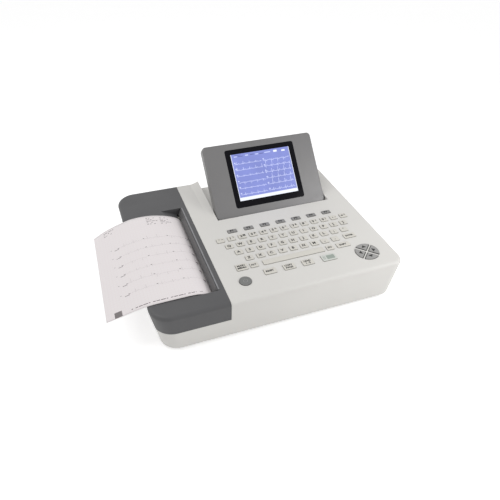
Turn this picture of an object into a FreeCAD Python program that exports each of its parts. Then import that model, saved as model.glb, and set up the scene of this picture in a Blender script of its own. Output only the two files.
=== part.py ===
"""Desktop electrocardiograph: sloping key deck, tilting display and pull-out paper printer.

World frame: +X to the operator's right, +Y away from the operator, +Z up, millimetres.
The origin is on the table, under the middle of the four feet.
Deck frame: x as in the world, v up the slope of the key deck from its front edge, w out of the deck.
Panel frame: x as in the world, v up the display from its hinge axis, n out of the display's face.
"""

import math
import os

import FreeCAD
import Part
from FreeCAD import Placement, Rotation, Vector

# Housing
X_LEFT = -205.0
X_RIGHT = 210.0
DEPTH = 336.0
FRONT_HEIGHT = 74.0
BACK_HEIGHT = 100.3
FOOT_HEIGHT = 4.0
WALL = 2.6
FLOOR = 3.0
CORNER_RADIUS = 32.0
LOW_CORNER_RADIUS = 24.0
RIGHT_CORNER_RADIUS = 19.0
LOW_RIGHT_CORNER_RADIUS = 18.0
TAPER_SIDE = 0.19
TAPER_FRONT = 0.02
TAPER_BACK = 0.16
TOP_FILLET = 6.0
BOTTOM_FILLET = 6.0
SPLIT_HEIGHT = 40.0
SEAM = 0.3
LIP_DEPTH = 9.0

# Printer cover, which pulls out to the left
COVER_X = -88.0
POCKET_DEPTH = 12.0
POCKET_LEFT = -134.0
POCKET_FRONT_MARGIN = 1.5
POCKET_BACK_MARGIN = 15.0
SLOT_RIGHT = -98.5
SLOT_WIDTH = 8.5
COVER_TRAVEL = 80.0
TEAR_BAR_WIDTH = 2.0
TEAR_BAR_RISE = 0.8

# Paper and its drive
PAPER_WIDTH = 210.0
PAPER_THICK = 0.3
PAPER_FROM_FRONT = 34.0
PAPER_CENTRE_Y = -DEPTH / 2 + PAPER_FROM_FRONT + PAPER_WIDTH / 2
NIP_X = -100.75
NIP_GAP = 0.1
PLATEN_RADIUS = 7.0
PLATEN_W = -22.5
PLATEN_SHAFT_RADIUS = 3.0
BUSH_WALL = 2.0
CHEEK_THICK = 3.0
ROLL_RADIUS = 18.0
ROLL_CORE_RADIUS = 6.5
ROLL_X = -132.0
ROLL_W = -49.5
PAPER_SHAFT_RADIUS = 4.0
GEAR_MODULE = 0.6
GEAR_WIDTH = 5.0
PLATEN_TEETH = 24
IDLER_TEETH = 36
PINION_TEETH = 12
BACKLASH = 0.12
GEAR_ROOM = 1.0
RUNNING_CLEARANCE = 0.05
HEAD_HEIGHT = 21.0
HEAD_THICK = 8.0
MOTOR_RADIUS = 16.0
MOTOR_LENGTH = 32.0
SHOE_LENGTH = 24.0
TONGUE_LENGTH = 14.0
RAIL_WIDTH = 7.0
RAIL_HEIGHT = 5.0

# Display
HINGE_FROM_BACK = 121.4
HINGE_Y = DEPTH / 2 - HINGE_FROM_BACK
HINGE_Z = 87.8
REST_ANGLE = 51.7
FOLD_ANGLE = 7.0
PANEL_X0 = -44.0
PANEL_WIDTH = 214.4
PANEL_LOW = -8.2
PANEL_HEIGHT = 135.8
PANEL_FACE = 2.9
PANEL_THICK = 17.0
PANEL_CORNER = 7.0
PANEL_EDGE = 2.0
BEZEL_DEPTH = 7.0
WINDOW_WIDTH = 135.5
WINDOW_HEIGHT = 108.0
WINDOW_LOW = 15.9
WINDOW_X = 63.4
WINDOW_THICK = 2.0
WINDOW_CORNER = 4.0
WINDOW_SINK = 0.4
LCD_WIDTH = 124.0
LCD_HEIGHT = 98.0
LCD_THICK = 6.0
LCD_RAISE = 1.5
PANEL_WALL = 2.0
WELL_CLEARANCE = 1.5
WELL_FLOOR_CLEARANCE = 2.4
WELL_FRONT = -14.4
RIM_WIDTH = 26.0
HINGE_PIN_RADIUS = 2.5
HINGE_PIN_REACH = 9.0

# Keys
KEY_RISE = 1.1
KEY_TRAVEL = 0.8
KEY_CLEARANCE = 0.25
KEY_FLANGE = 0.8
KEY_FLANGE_THICK = 0.8
KEY_CORNER = 1.6
ROW_STEP = 18.6
DECK_FRONT = -DEPTH / 2
FIRST_ROW_FROM_FRONT = 143.5
FIRST_ROW_Y = DECK_FRONT + FIRST_ROW_FROM_FRONT
KEY_PITCH = 19.3
KEY_SIZE_X = 13.4
KEY_SIZE_Y = 11.4
SOFT_KEY_COUNT = 7
SOFT_KEY_X = -31.8
SOFT_KEY_PITCH = 30.0
SOFT_KEY_FROM_FRONT = 162.8
SOFT_KEY_Y = DECK_FRONT + SOFT_KEY_FROM_FRONT
SOFT_KEY_SIZE = (17.0, 9.0)
CHARACTER_ROWS = (("digit_keys", -59.2, 13), ("upper_letter_keys", -49.6, 12),
                  ("home_letter_keys", -39.4, 11), ("lower_letter_keys", -28.2, 9))
BOTTOM_ROW_FROM_FRONT = 69.0
BOTTOM_ROW_Y = DECK_FRONT + BOTTOM_ROW_FROM_FRONT
FUNCTION_ROW_FROM_FRONT = 47.5
FUNCTION_ROW_Y = DECK_FRONT + FUNCTION_ROW_FROM_FRONT
ENTER_FROM_FRONT = 87.8
MENU_FROM_FRONT = 70.0
WIDE_KEYS = {
    "enter_key": (154.0, DECK_FRONT + ENTER_FROM_FRONT, 22.0, 11.4),
    "menu_key": (-47.7, DECK_FRONT + MENU_FROM_FRONT, 19.0, 15.0),
    "mode_key": (-27.6, BOTTOM_ROW_Y, 13.4, 11.4),
    "space_bar": (41.5, BOTTOM_ROW_Y, 108.0, 11.4),
    "symbol_key": (107.0, BOTTOM_ROW_Y, 13.4, 11.4),
    "case_key": (131.5, BOTTOM_ROW_Y, 24.0, 11.4),
    "reset_key": (-8.9, FUNCTION_ROW_Y, 20.0, 13.0),
    "copy_key": (23.7, FUNCTION_ROW_Y, 20.0, 13.0),
    "lead_key": (56.2, FUNCTION_ROW_Y, 20.0, 13.0),
    "print_key": (93.4, FUNCTION_ROW_Y, 25.0, 15.0),
}
POWER_KEY_X = -53.1
POWER_KEY_FROM_FRONT = 38.4
POWER_KEY_Y = DECK_FRONT + POWER_KEY_FROM_FRONT
POWER_KEY_RADIUS = 10.0
ARROW_X = 160.5
ARROW_FROM_FRONT = 40.5
ARROW_Y = DECK_FRONT + ARROW_FROM_FRONT
ARROW_RADIUS = 20.0
ARROW_GAP = 2.6
ARROW_NAMES = ("right_arrow_key", "up_arrow_key", "left_arrow_key", "down_arrow_key")

# Inner parts and connectors
FOOT_RADIUS = 9.0
FOOT_INSET_X = 28.0
FOOT_INSET_Y = 30.0
SCREW_RADIUS = 2.0
SCREW_HEAD_RADIUS = 3.6
SCREW_INSET = 22.0
SCREW_FROM_END = 30.0
SCREW_Y = DEPTH / 2 - SCREW_FROM_END
BOSS_RADIUS = 5.0
MAIN_BOARD = (30.0, 168.0, -110.0, 10.0)
MAIN_CHIPS = ((60.0, -80.0, 24.0, 24.0), (100.0, -84.0, 16.0, 22.0), (128.0, -60.0, 14.0, 14.0),
              (60.0, -40.0, 20.0, 9.0))
CHIP_HEIGHT = 2.4
SUPPLY_BOARD = (-70.0, 15.0, -100.0, -20.0)
TRANSFORMER = (-60.0, -30.0, -80.0, -45.0)
TRANSFORMER_HEIGHT = 26.0
CAPACITOR = (-8.0, -40.0, 9.0, 24.0)
HEAT_SINK = (-20.0, 10.0, -92.0, -62.0)
HEAT_SINK_HEIGHT = 14.0
POST_RADIUS = 3.0
POST_INSET = 6.0
SCREW_LENGTH = 26.0
BEYOND = 400.0
BOARD_THICK = 1.6
STANDOFF = 8.0
BAY_WALL = 2.5
PORT_BAY_HEIGHT = (12.0, 36.0)
PORT_PANEL_INSET = 24.0
PORT_BAY_Y = (-62.0, 62.0)
REAR_PANEL_INSET = 10.0
REAR_BAY_X = (40.0, 150.0)
BATTERY = (84.0, 62.0, 22.0)
BATTERY_CENTRE = (20.0, 60.0)

PORT_PANEL_X = X_RIGHT - PORT_PANEL_INSET
REAR_PANEL_Y = DEPTH / 2 - REAR_PANEL_INSET
SLOPE = math.atan2(BACK_HEIGHT - FRONT_HEIGHT, DEPTH)
DECK_LENGTH = DEPTH / math.cos(SLOPE)
DECK_PLACE = Placement(Vector(0, -DEPTH / 2, FRONT_HEIGHT), Rotation(Vector(1, 0, 0), math.degrees(SLOPE)))
LOW_DROP = 130.0


def deck_v(y):
    """Distance up the deck of a point of the deck that lies at world y."""
    return (y + DEPTH / 2) / math.cos(SLOPE)


def to_deck(shape):
    """A shape drawn in the deck frame, set in the world."""
    placed = shape.copy()
    placed.transformShape(DECK_PLACE.toMatrix(), True)
    return placed


def to_panel(shape, angle):
    """A shape drawn in the panel frame, set in the world with the display at that angle above the horizon."""
    place = Placement(Vector(0, HINGE_Y, HINGE_Z), Rotation(Vector(1, 0, 0), angle))
    placed = shape.copy()
    placed.transformShape(place.toMatrix(), True)
    return placed


def block(x0, x1, y0, y1, z0, z1):
    """Box between two corners."""
    return Part.makeBox(x1 - x0, y1 - y0, z1 - z0, Vector(x0, y0, z0))


def rounded_wire(x0, x1, y0, y1, z, radius, first_radius=None):
    """Rectangle with rounded corners at one height; the corner at x1, y0 may have a radius of its own."""
    corners = ((x1, y0, -1, 1), (x1, y1, -1, -1), (x0, y1, 1, -1), (x0, y0, 1, 1))
    edges = []
    last = None
    for i, (cx, cy, sx, sy) in enumerate(corners):
        bow = first_radius if i == 0 and first_radius else radius
        bend = bow * (1 - math.sqrt(0.5))
        along_x = Vector(cx + sx * bow, cy, z)
        along_y = Vector(cx, cy + sy * bow, z)
        middle = Vector(cx + sx * bend, cy + sy * bend, z)
        start, end = (along_x, along_y) if i % 2 == 0 else (along_y, along_x)
        if last is not None:
            edges.append(Part.LineSegment(last, start).toShape())
        edges.append(Part.Arc(start, middle, end).toShape())
        last = end
        if i == 0:
            first = start
    edges.append(Part.LineSegment(last, first).toShape())
    return Part.Wire(edges)


def rounded_block(x0, x1, y0, y1, z0, z1, radius):
    """Box with rounded upright corners."""
    face = Part.Face(rounded_wire(x0, x1, y0, y1, z0, radius))
    return face.extrude(Vector(0, 0, z1 - z0))


def prism(points, direction):
    """Polygon swept along a direction."""
    wire = Part.makePolygon([Vector(*p) for p in points] + [Vector(*points[0])])
    return Part.Face(wire).extrude(Vector(*direction))


def rod(radius, start, end):
    """Round bar between two points."""
    axis = Vector(*end) - Vector(*start)
    return Part.makeCylinder(radius, axis.Length, Vector(*start), axis)


def edges_on(shape, test):
    """Edges of a shape whose every vertex passes a test."""
    return [e for e in shape.Edges if all(test(v.Point) for v in e.Vertexes)]


def hull(inset):
    """The tapered housing as one solid, moved in on every side by inset, unlimited below."""
    top = rounded_wire(X_LEFT + inset, X_RIGHT - inset, inset, DECK_LENGTH - inset, -inset,
                       CORNER_RADIUS - inset, RIGHT_CORNER_RADIUS - inset)
    side = TAPER_SIDE * LOW_DROP + inset
    low = rounded_wire(X_LEFT + side, X_RIGHT - side, TAPER_FRONT * LOW_DROP + inset,
                       DECK_LENGTH - TAPER_BACK * LOW_DROP - inset, -LOW_DROP, LOW_CORNER_RADIUS - inset,
                       LOW_RIGHT_CORNER_RADIUS - inset)
    return to_deck(Part.makeLoft([top, low], True, True))


def outer_hull():
    """The housing's outside, standing on its flat underside, with rounded rims."""
    solid = hull(0).common(block(-400, 400, -400, 400, FOOT_HEIGHT, 300))
    normal = DECK_PLACE.Rotation.multVec(Vector(0, 0, 1))
    top = edges_on(solid, lambda p: abs((p - DECK_PLACE.Base).dot(normal)) < 1e-3)
    solid = solid.makeFillet(TOP_FILLET, top)
    return solid.makeFillet(BOTTOM_FILLET, edges_on(solid, lambda p: abs(p.z - FOOT_HEIGHT) < 1e-3))


OUTER = outer_hull()
INNER = hull(WALL).common(block(-400, 400, -400, 400, FOOT_HEIGHT + FLOOR, 300))
SHELL = OUTER.cut(INNER)


def key_plan(x, y, size_x, size_y, grow, w0, w1):
    """Rounded rectangular key outline raised from w0 to w1 in the deck frame, grown on every side."""
    v = deck_v(y)
    half_x = size_x / 2 + grow
    half_y = size_y / 2 + grow
    return rounded_block(x - half_x, x + half_x, v - half_y, v + half_y, w0, w1, KEY_CORNER + grow)


def arrow_plan(turn, grow, w0, w1):
    """One quarter of the round arrow pad, pointing along turn degrees, grown on every side."""
    gap = ARROW_GAP / 2 - grow
    radius = ARROW_RADIUS + grow
    near = gap * math.sqrt(2)
    half = math.asin(gap / radius)
    start = math.radians(turn - 45) + half
    end = math.radians(turn + 45) - half
    middle = math.radians(turn)

    def at(r, angle):
        return Vector(ARROW_X + r * math.cos(angle), deck_v(ARROW_Y) + r * math.sin(angle), w0)

    edges = [Part.LineSegment(at(near, middle), at(radius, start)).toShape(),
             Part.Arc(at(radius, start), at(radius, middle), at(radius, end)).toShape(),
             Part.LineSegment(at(radius, end), at(near, middle)).toShape()]
    return Part.Face(Part.Wire(edges)).extrude(Vector(0, 0, w1 - w0))


def power_plan(grow, w0, w1):
    """The round power key, grown on its side."""
    return Part.makeCylinder(POWER_KEY_RADIUS + grow, w1 - w0, Vector(POWER_KEY_X, deck_v(POWER_KEY_Y), w0))


def key_outlines():
    """Every key of the deck as {node: [function of (grow, w0, w1)]}."""
    keys = {}
    for i in range(SOFT_KEY_COUNT):
        x = SOFT_KEY_X + i * SOFT_KEY_PITCH
        keys[f"soft_key_{i + 1}"] = [lambda g, a, b, x=x: key_plan(x, SOFT_KEY_Y, *SOFT_KEY_SIZE, g, a, b)]
    for row, (name, first, count) in enumerate(CHARACTER_ROWS):
        y = FIRST_ROW_Y - row * ROW_STEP
        places = [first + i * KEY_PITCH for i in range(count)]
        keys[name] = [lambda g, a, b, x=x, y=y: key_plan(x, y, KEY_SIZE_X, KEY_SIZE_Y, g, a, b)
                      for x in places]
    for name, place in WIDE_KEYS.items():
        keys[name] = [lambda g, a, b, place=place: key_plan(*place, g, a, b)]
    keys["power_key"] = [power_plan]
    for i, name in enumerate(ARROW_NAMES):
        keys[name] = [lambda g, a, b, turn=90 * i: arrow_plan(turn, g, a, b)]
    return keys


KEYS = key_outlines()
FLANGE_TOP = -WALL - KEY_CLEARANCE
KEY_BOTTOM = FLANGE_TOP - KEY_FLANGE_THICK


def key_solid(outline):
    """A key: its cap through the deck and the flange that holds it from below."""
    cap = outline(0, FLANGE_TOP, KEY_RISE)
    flange = outline(KEY_FLANGE, KEY_BOTTOM, FLANGE_TOP)
    if outline in [KEYS[n][0] for n in ARROW_NAMES]:
        flange = outline(0, KEY_BOTTOM, FLANGE_TOP)
    return to_deck(cap.fuse(flange).removeSplitter())


def keys():
    """The moving key caps."""
    return {name: Part.makeCompound([key_solid(o) for o in outlines]) for name, outlines in KEYS.items()}


def keypad():
    """The contact board under the keys with its rubber mat, and the posts that hold it to the deck."""
    mat_top = KEY_BOTTOM - KEY_TRAVEL - KEY_CLEARANCE
    mat_thick = 1.2
    v0 = deck_v(POWER_KEY_Y - 20)
    v1 = deck_v(SOFT_KEY_Y + 12)
    x0 = POWER_KEY_X - 24
    x1 = ARROW_X + 26
    mat = rounded_block(x0, x1, v0, v1, mat_top - mat_thick, mat_top, KEY_CORNER)
    board = rounded_block(x0, x1, v0, v1, mat_top - mat_thick - BOARD_THICK, mat_top - mat_thick, KEY_CORNER)
    middle = (v0 + v1) / 2
    posts = [Part.makeCylinder(BOSS_RADIUS, -mat_top - WALL, Vector(x, v, mat_top))
             for x in (x0 + BOSS_RADIUS, x1 - BOSS_RADIUS)
             for v in (middle - BOSS_RADIUS, middle + 2 * BOSS_RADIUS)]
    return to_deck(mat.fuse(board).removeSplitter()), [to_deck(p) for p in posts]


KEY_BOARD, KEY_POSTS = keypad()


def well_box(grow):
    """The display well, a box in the panel frame at the folded angle, grown on its walls."""
    x0 = PANEL_X0 - WELL_CLEARANCE - grow
    x1 = PANEL_X0 + PANEL_WIDTH + WELL_CLEARANCE + grow
    floor = PANEL_FACE - PANEL_THICK - WELL_FLOOR_CLEARANCE - grow
    return to_panel(block(x0, x1, WELL_FRONT - grow, DEPTH, floor, 60), FOLD_ANGLE)


def rim(side):
    """The ridge beside the display well, rising from the deck at the hinge to the folded display's face."""
    edge = PANEL_X0 - WELL_CLEARANCE if side < 0 else PANEL_X0 + PANEL_WIDTH + WELL_CLEARANCE
    wires = []
    for y in (HINGE_Y, DEPTH / 2 - TOP_FILLET):
        deck_z = FRONT_HEIGHT + (y + DEPTH / 2) * math.tan(SLOPE)
        face_z = HINGE_Z + PANEL_FACE + (y - HINGE_Y) * math.tan(math.radians(FOLD_ANGLE))
        rise = max(face_z - deck_z, 0.4)
        base = deck_z - WALL / 2
        foot = Vector(edge + side * RIM_WIDTH, y, base)
        crest = Vector(edge, y, deck_z + rise)
        dip = Vector(edge + side * RIM_WIDTH * 0.45, y, deck_z + rise * 0.2)
        corner = Vector(edge, y, base)
        outline = [Part.LineSegment(corner, foot), Part.Arc(foot, dip, crest),
                   Part.LineSegment(crest, corner)]
        wires.append(Part.Wire([line.toShape() for line in outline]))
    return Part.makeLoft(wires, True, True)


def upper_housing():
    """Top shell: sloping deck with key holes, display well with raised rims, side walls down to the seam."""
    above = block(COVER_X, 400, -400, 400, SPLIT_HEIGHT, 300)
    shell = SHELL.common(above)
    well = well_box(WALL).common(OUTER).common(above)
    shell = shell.fuse([well, rim(-1), rim(1), *KEY_POSTS])
    lip = block(COVER_X, COVER_X + WALL, -400, 400, SPLIT_HEIGHT, 300)
    lip = lip.common(INNER).cut(to_deck(block(-400, 400, 0, 400, -300, -LIP_DEPTH)))
    shell = shell.fuse(lip)
    holes = [to_deck(o(KEY_CLEARANCE, -WALL - 1, 5)) for outlines in KEYS.values() for o in outlines]
    shell = shell.cut([well_box(0), *holes, *port_cuts()])
    pin_hole = HINGE_PIN_RADIUS
    x0 = PANEL_X0 - WELL_CLEARANCE - WALL - 1
    x1 = PANEL_X0 + PANEL_WIDTH + WELL_CLEARANCE + WALL + 1
    return shell.cut(rod(pin_hole, (x0, HINGE_Y, HINGE_Z), (x1, HINGE_Y, HINGE_Z))).removeSplitter()


def port_cuts():
    """The recesses in the right side and in the back, where the connector panels lie."""
    z0, z1 = PORT_BAY_HEIGHT
    return [block(PORT_PANEL_X, 300, *PORT_BAY_Y, z0, z1), block(*REAR_BAY_X, REAR_PANEL_Y, 300, z0, z1)]


def port_panels():
    """The flat panels at the bottom of those recesses, each with its surround."""
    z0, z1 = PORT_BAY_HEIGHT
    side = block(PORT_PANEL_X - WALL, 300, PORT_BAY_Y[0] - WALL, PORT_BAY_Y[1] + WALL, z0 - WALL, z1 + WALL)
    rear = block(REAR_BAY_X[0] - WALL, REAR_BAY_X[1] + WALL, REAR_PANEL_Y - WALL, 300, z0 - WALL, z1 + WALL)
    return side.fuse(rear).common(OUTER)


def foot_places():
    """Where the four feet stand."""
    x = X_RIGHT - TAPER_SIDE * FRONT_HEIGHT - FOOT_INSET_X
    y = DEPTH / 2 - FOOT_INSET_Y
    return [(sx * x, sy * y) for sx in (-1, 1) for sy in (-1, 1)]


def screw_places():
    """Where the housing screws go up through the floor."""
    return [(x, y) for x in (COVER_X + SCREW_INSET, X_RIGHT - 4 * SCREW_INSET) for y in (-SCREW_Y, SCREW_Y)]


def lower_housing():
    """Bottom tub with the paper well's wall, roll cradles, rail ledges, screw bosses and connector panels."""
    below = block(-BEYOND, BEYOND, -BEYOND, BEYOND, 0, SPLIT_HEIGHT)
    shell = SHELL.common(below).fuse(port_panels().common(below))
    floor = FOOT_HEIGHT + FLOOR
    head_right = NIP_X + PAPER_THICK / 2 + NIP_GAP + HEAD_THICK
    y_back = PAPER_CENTRE_Y + PAPER_WIDTH / 2
    y_front = PAPER_CENTRE_Y - PAPER_WIDTH / 2
    bay_wall = block(head_right + 3, head_right + 3 + BAY_WALL, y_front, y_back, floor, 56)
    cradles = [roll_cradle(v) for v in (deck_v(y_front) - 5, deck_v(y_back) + 2)]
    bosses = []
    for x, y in screw_places():
        boss = Part.makeCylinder(BOSS_RADIUS, SPLIT_HEIGHT - floor, Vector(x, y, floor))
        bosses.append(boss.cut(Part.makeCylinder(SCREW_RADIUS, 300, Vector(x, y, 0))))
    solid = shell.fuse([bay_wall, *cradles, *rail_ledges(), *bosses])
    cuts = [*port_cuts(), battery_opening()]
    cuts += [Part.makeCylinder(SCREW_RADIUS, 60, Vector(x, y, 0)) for x, y in screw_places()]
    head_depth = FOOT_HEIGHT + 1.6
    cuts += [Part.makeCylinder(SCREW_HEAD_RADIUS, head_depth, Vector(x, y, 0)) for x, y in screw_places()]
    return solid.cut(cuts + connector_holes()).removeSplitter()


def roll_cradle(v):
    """Upright with an open-topped notch for one end of the paper shaft."""
    thick = 3.0
    radius = PAPER_SHAFT_RADIUS + RUNNING_CLEARANCE
    plate = block(ROLL_X - 12, ROLL_X + 12, v, v + thick, -LOW_DROP, ROLL_W + PAPER_SHAFT_RADIUS)
    notch = rod(radius, (ROLL_X, v - 1, ROLL_W), (ROLL_X, v + thick + 1, ROLL_W))
    mouth = block(ROLL_X - radius, ROLL_X + radius, v - 1, v + thick + 1, ROLL_W, 0)
    return to_deck(plate.cut([notch, mouth])).common(INNER)


def rail_spans():
    """(y0, y1) of the two printer rails."""
    outer = DEPTH / 2 - 17
    return [(-outer, -outer + RAIL_WIDTH), (outer - RAIL_WIDTH, outer)]


RAIL_X0 = X_LEFT + 24
RAIL_X1 = COVER_X
RAIL_TOP = SPLIT_HEIGHT - 1


def rail_ledges():
    """Ledges that carry the rails, from the floor up."""
    return [block(x, x + 10, y0, y1, FOOT_HEIGHT + FLOOR, RAIL_TOP - RAIL_HEIGHT)
            for y0, y1 in rail_spans() for x in (RAIL_X0, RAIL_X1 - 10)]


def battery_opening():
    """The hole in the floor that the battery cover closes."""
    x, y = BATTERY_CENTRE
    length, width, _ = BATTERY
    return rounded_block(x - length / 2 - 4, x + length / 2 + 4, y - width / 2 - 4, y + width / 2 + 4, 0,
                         FOOT_HEIGHT + FLOOR, 3)


def pocket_span():
    """Front and back end of the paper pocket, up the deck."""
    return (deck_v(PAPER_CENTRE_Y - PAPER_WIDTH / 2 - POCKET_FRONT_MARGIN),
            deck_v(PAPER_CENTRE_Y + PAPER_WIDTH / 2 + POCKET_BACK_MARGIN))


def printer_cover():
    """Grey pull-out cover: the left end of the housing with its paper ramp, slot and platen cheeks."""
    region = block(-400, COVER_X - SEAM, -400, 400, SPLIT_HEIGHT + SEAM, 300)
    v0, v1 = pocket_span()
    ramp_left = (POCKET_LEFT, v0, 0)
    deep_left = (SLOT_RIGHT - SLOT_WIDTH, v0, -POCKET_DEPTH)
    pocket = prism([(SLOT_RIGHT, v0, 5), (SLOT_RIGHT, v0, -POCKET_DEPTH), deep_left, ramp_left,
                    (POCKET_LEFT, v0, 5)], (0, v1 - v0, 0))
    under = -POCKET_DEPTH - WALL
    front = v0 - WALL
    backing = prism([(SLOT_RIGHT + WALL, front, -1), (SLOT_RIGHT + WALL, front, under),
                     (deep_left[0], front, under), (POCKET_LEFT, front, -WALL), (POCKET_LEFT, front, -1)],
                    (0, v1 - v0 + 2 * WALL, 0))
    slot = block(SLOT_RIGHT - SLOT_WIDTH, SLOT_RIGHT, v0, v1, under - 1, 0)
    shell = SHELL.common(region).fuse(to_deck(backing).common(OUTER).common(region))
    shell = shell.fuse([c.common(region) for c in platen_cheeks()] + [s.common(OUTER) for s in rail_shoes()])
    return shell.cut([to_deck(pocket), to_deck(slot), to_deck(bush_bore()), *gear_room()]).removeSplitter()


PLATEN_X = NIP_X - PAPER_THICK / 2 - NIP_GAP - PLATEN_RADIUS
CHEEK_FRONT_V = deck_v(PAPER_CENTRE_Y - PAPER_WIDTH / 2) - 4 - CHEEK_THICK
CHEEK_BACK_V = deck_v(PAPER_CENTRE_Y + PAPER_WIDTH / 2) + 2
BUSH_RADIUS = PLATEN_SHAFT_RADIUS + BUSH_WALL


def platen_cheeks():
    """The two plates under the ramp that carry the platen's bushes."""
    return [to_deck(block(PLATEN_X - 12, PLATEN_X + 6.6, v, v + CHEEK_THICK, PLATEN_W - 7, -POCKET_DEPTH + 3))
            for v in (CHEEK_FRONT_V, CHEEK_BACK_V)]


def bush_bore():
    """Both bush seats as one through bore."""
    start = (PLATEN_X, CHEEK_FRONT_V - 1, PLATEN_W)
    return rod(BUSH_RADIUS, start, (PLATEN_X, CHEEK_BACK_V + CHEEK_THICK + 1, PLATEN_W))


def gear_room():
    """Room in the cover for the platen gear and the idler."""
    room = []
    for x, teeth in ((PLATEN_X, PLATEN_TEETH), (IDLER_X, IDLER_TEETH)):
        radius = GEAR_MODULE * (teeth / 2 + 1) + GEAR_ROOM
        start = (x, GEAR_V - GEAR_ROOM, PLATEN_W)
        room.append(to_deck(rod(radius, start, (x, GEAR_V + GEAR_WIDTH + GEAR_ROOM, PLATEN_W))))
    return room


def rail_shoes():
    """Channels on the cover's front and back walls that ride on the rails."""
    shoes = []
    clear = 0.3
    for y0, y1 in rail_spans():
        wall_y = -DEPTH / 2 if y0 < 0 else DEPTH / 2
        low, high = min(y0 - 2, wall_y), max(y1 + 2, wall_y)
        shoe = block(COVER_X - SHOE_LENGTH, COVER_X - SEAM, low, high, SPLIT_HEIGHT + SEAM, SPLIT_HEIGHT + 6)
        shoes.append(shoe)
        tongue = block(COVER_X - TONGUE_LENGTH, COVER_X - SEAM, y0 - 2, y0 - clear,
                       RAIL_TOP - 3, SPLIT_HEIGHT + 1)
        shoes.append(tongue if y0 > 0 else tongue.translated(Vector(0, RAIL_WIDTH + 2 + clear, 0)))
    return shoes


def gear(teeth, bore, width):
    """Straight spur gear on the v axis, with one tooth centred on +x."""
    pitch = GEAR_MODULE * teeth / 2
    outer = pitch + GEAR_MODULE
    root = pitch - 1.25 * GEAR_MODULE
    step = 2 * math.pi / teeth
    root_half = step * 0.33
    pitch_half = step / 4 - BACKLASH / 2 / pitch
    tip_half = step * 0.11
    points = []
    for i in range(teeth):
        for radius, offset in ((root, -root_half), (pitch, -pitch_half), (outer, -tip_half),
                               (outer, tip_half), (pitch, pitch_half), (root, root_half)):
            angle = i * step + offset
            points.append((radius * math.cos(angle), 0, radius * math.sin(angle)))
    blank = prism(points, (0, width, 0))
    return blank.cut(rod(bore, (0, -1, 0), (0, width + 1, 0)))


def placed_gear(teeth, bore, x, turn):
    """A gear of the train at its place in the deck frame, turned about its axis."""
    wheel = gear(teeth, bore, GEAR_WIDTH)
    wheel.rotate(Vector(0, 0, 0), Vector(0, 1, 0), turn)
    wheel.translate(Vector(x, GEAR_V, PLATEN_W))
    return to_deck(wheel)


GEAR_V = CHEEK_BACK_V + CHEEK_THICK + 2
IDLER_X = PLATEN_X + GEAR_MODULE * (PLATEN_TEETH + IDLER_TEETH) / 2
PINION_X = IDLER_X + GEAR_MODULE * (IDLER_TEETH + PINION_TEETH) / 2
AXLE_RADIUS = 2.0
MOTOR_SHAFT_RADIUS = 1.5
BRACKET_EDGE = 5.0
MOTOR_V = GEAR_V + GEAR_WIDTH + 5


def platen_parts():
    """Rubber roller on its steel shaft, its bushes and its gear."""
    v0 = deck_v(PAPER_CENTRE_Y - PAPER_WIDTH / 2) - 2
    v1 = deck_v(PAPER_CENTRE_Y + PAPER_WIDTH / 2) + 1
    end = GEAR_V + GEAR_WIDTH + 1
    shaft = rod(PLATEN_SHAFT_RADIUS, (PLATEN_X, CHEEK_FRONT_V - 1, PLATEN_W), (PLATEN_X, end, PLATEN_W))
    roller = rod(PLATEN_RADIUS, (PLATEN_X, v0, PLATEN_W), (PLATEN_X, v1, PLATEN_W))
    roller = roller.cut(rod(PLATEN_SHAFT_RADIUS, (PLATEN_X, v0 - 1, PLATEN_W), (PLATEN_X, v1 + 1, PLATEN_W)))
    bushes = []
    for v in (CHEEK_FRONT_V, CHEEK_BACK_V):
        bush = rod(BUSH_RADIUS, (PLATEN_X, v, PLATEN_W), (PLATEN_X, v + CHEEK_THICK, PLATEN_W))
        hole = PLATEN_SHAFT_RADIUS + RUNNING_CLEARANCE
        bushes.append(to_deck(bush.cut(rod(hole, (PLATEN_X, v - 1, PLATEN_W), (PLATEN_X, v + 9, PLATEN_W)))))
    return {"platen_shaft": to_deck(shaft), "platen_roller": to_deck(roller),
            "platen_bushes": Part.makeCompound(bushes),
            "platen_gear": placed_gear(PLATEN_TEETH, PLATEN_SHAFT_RADIUS, PLATEN_X, 0)}


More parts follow.
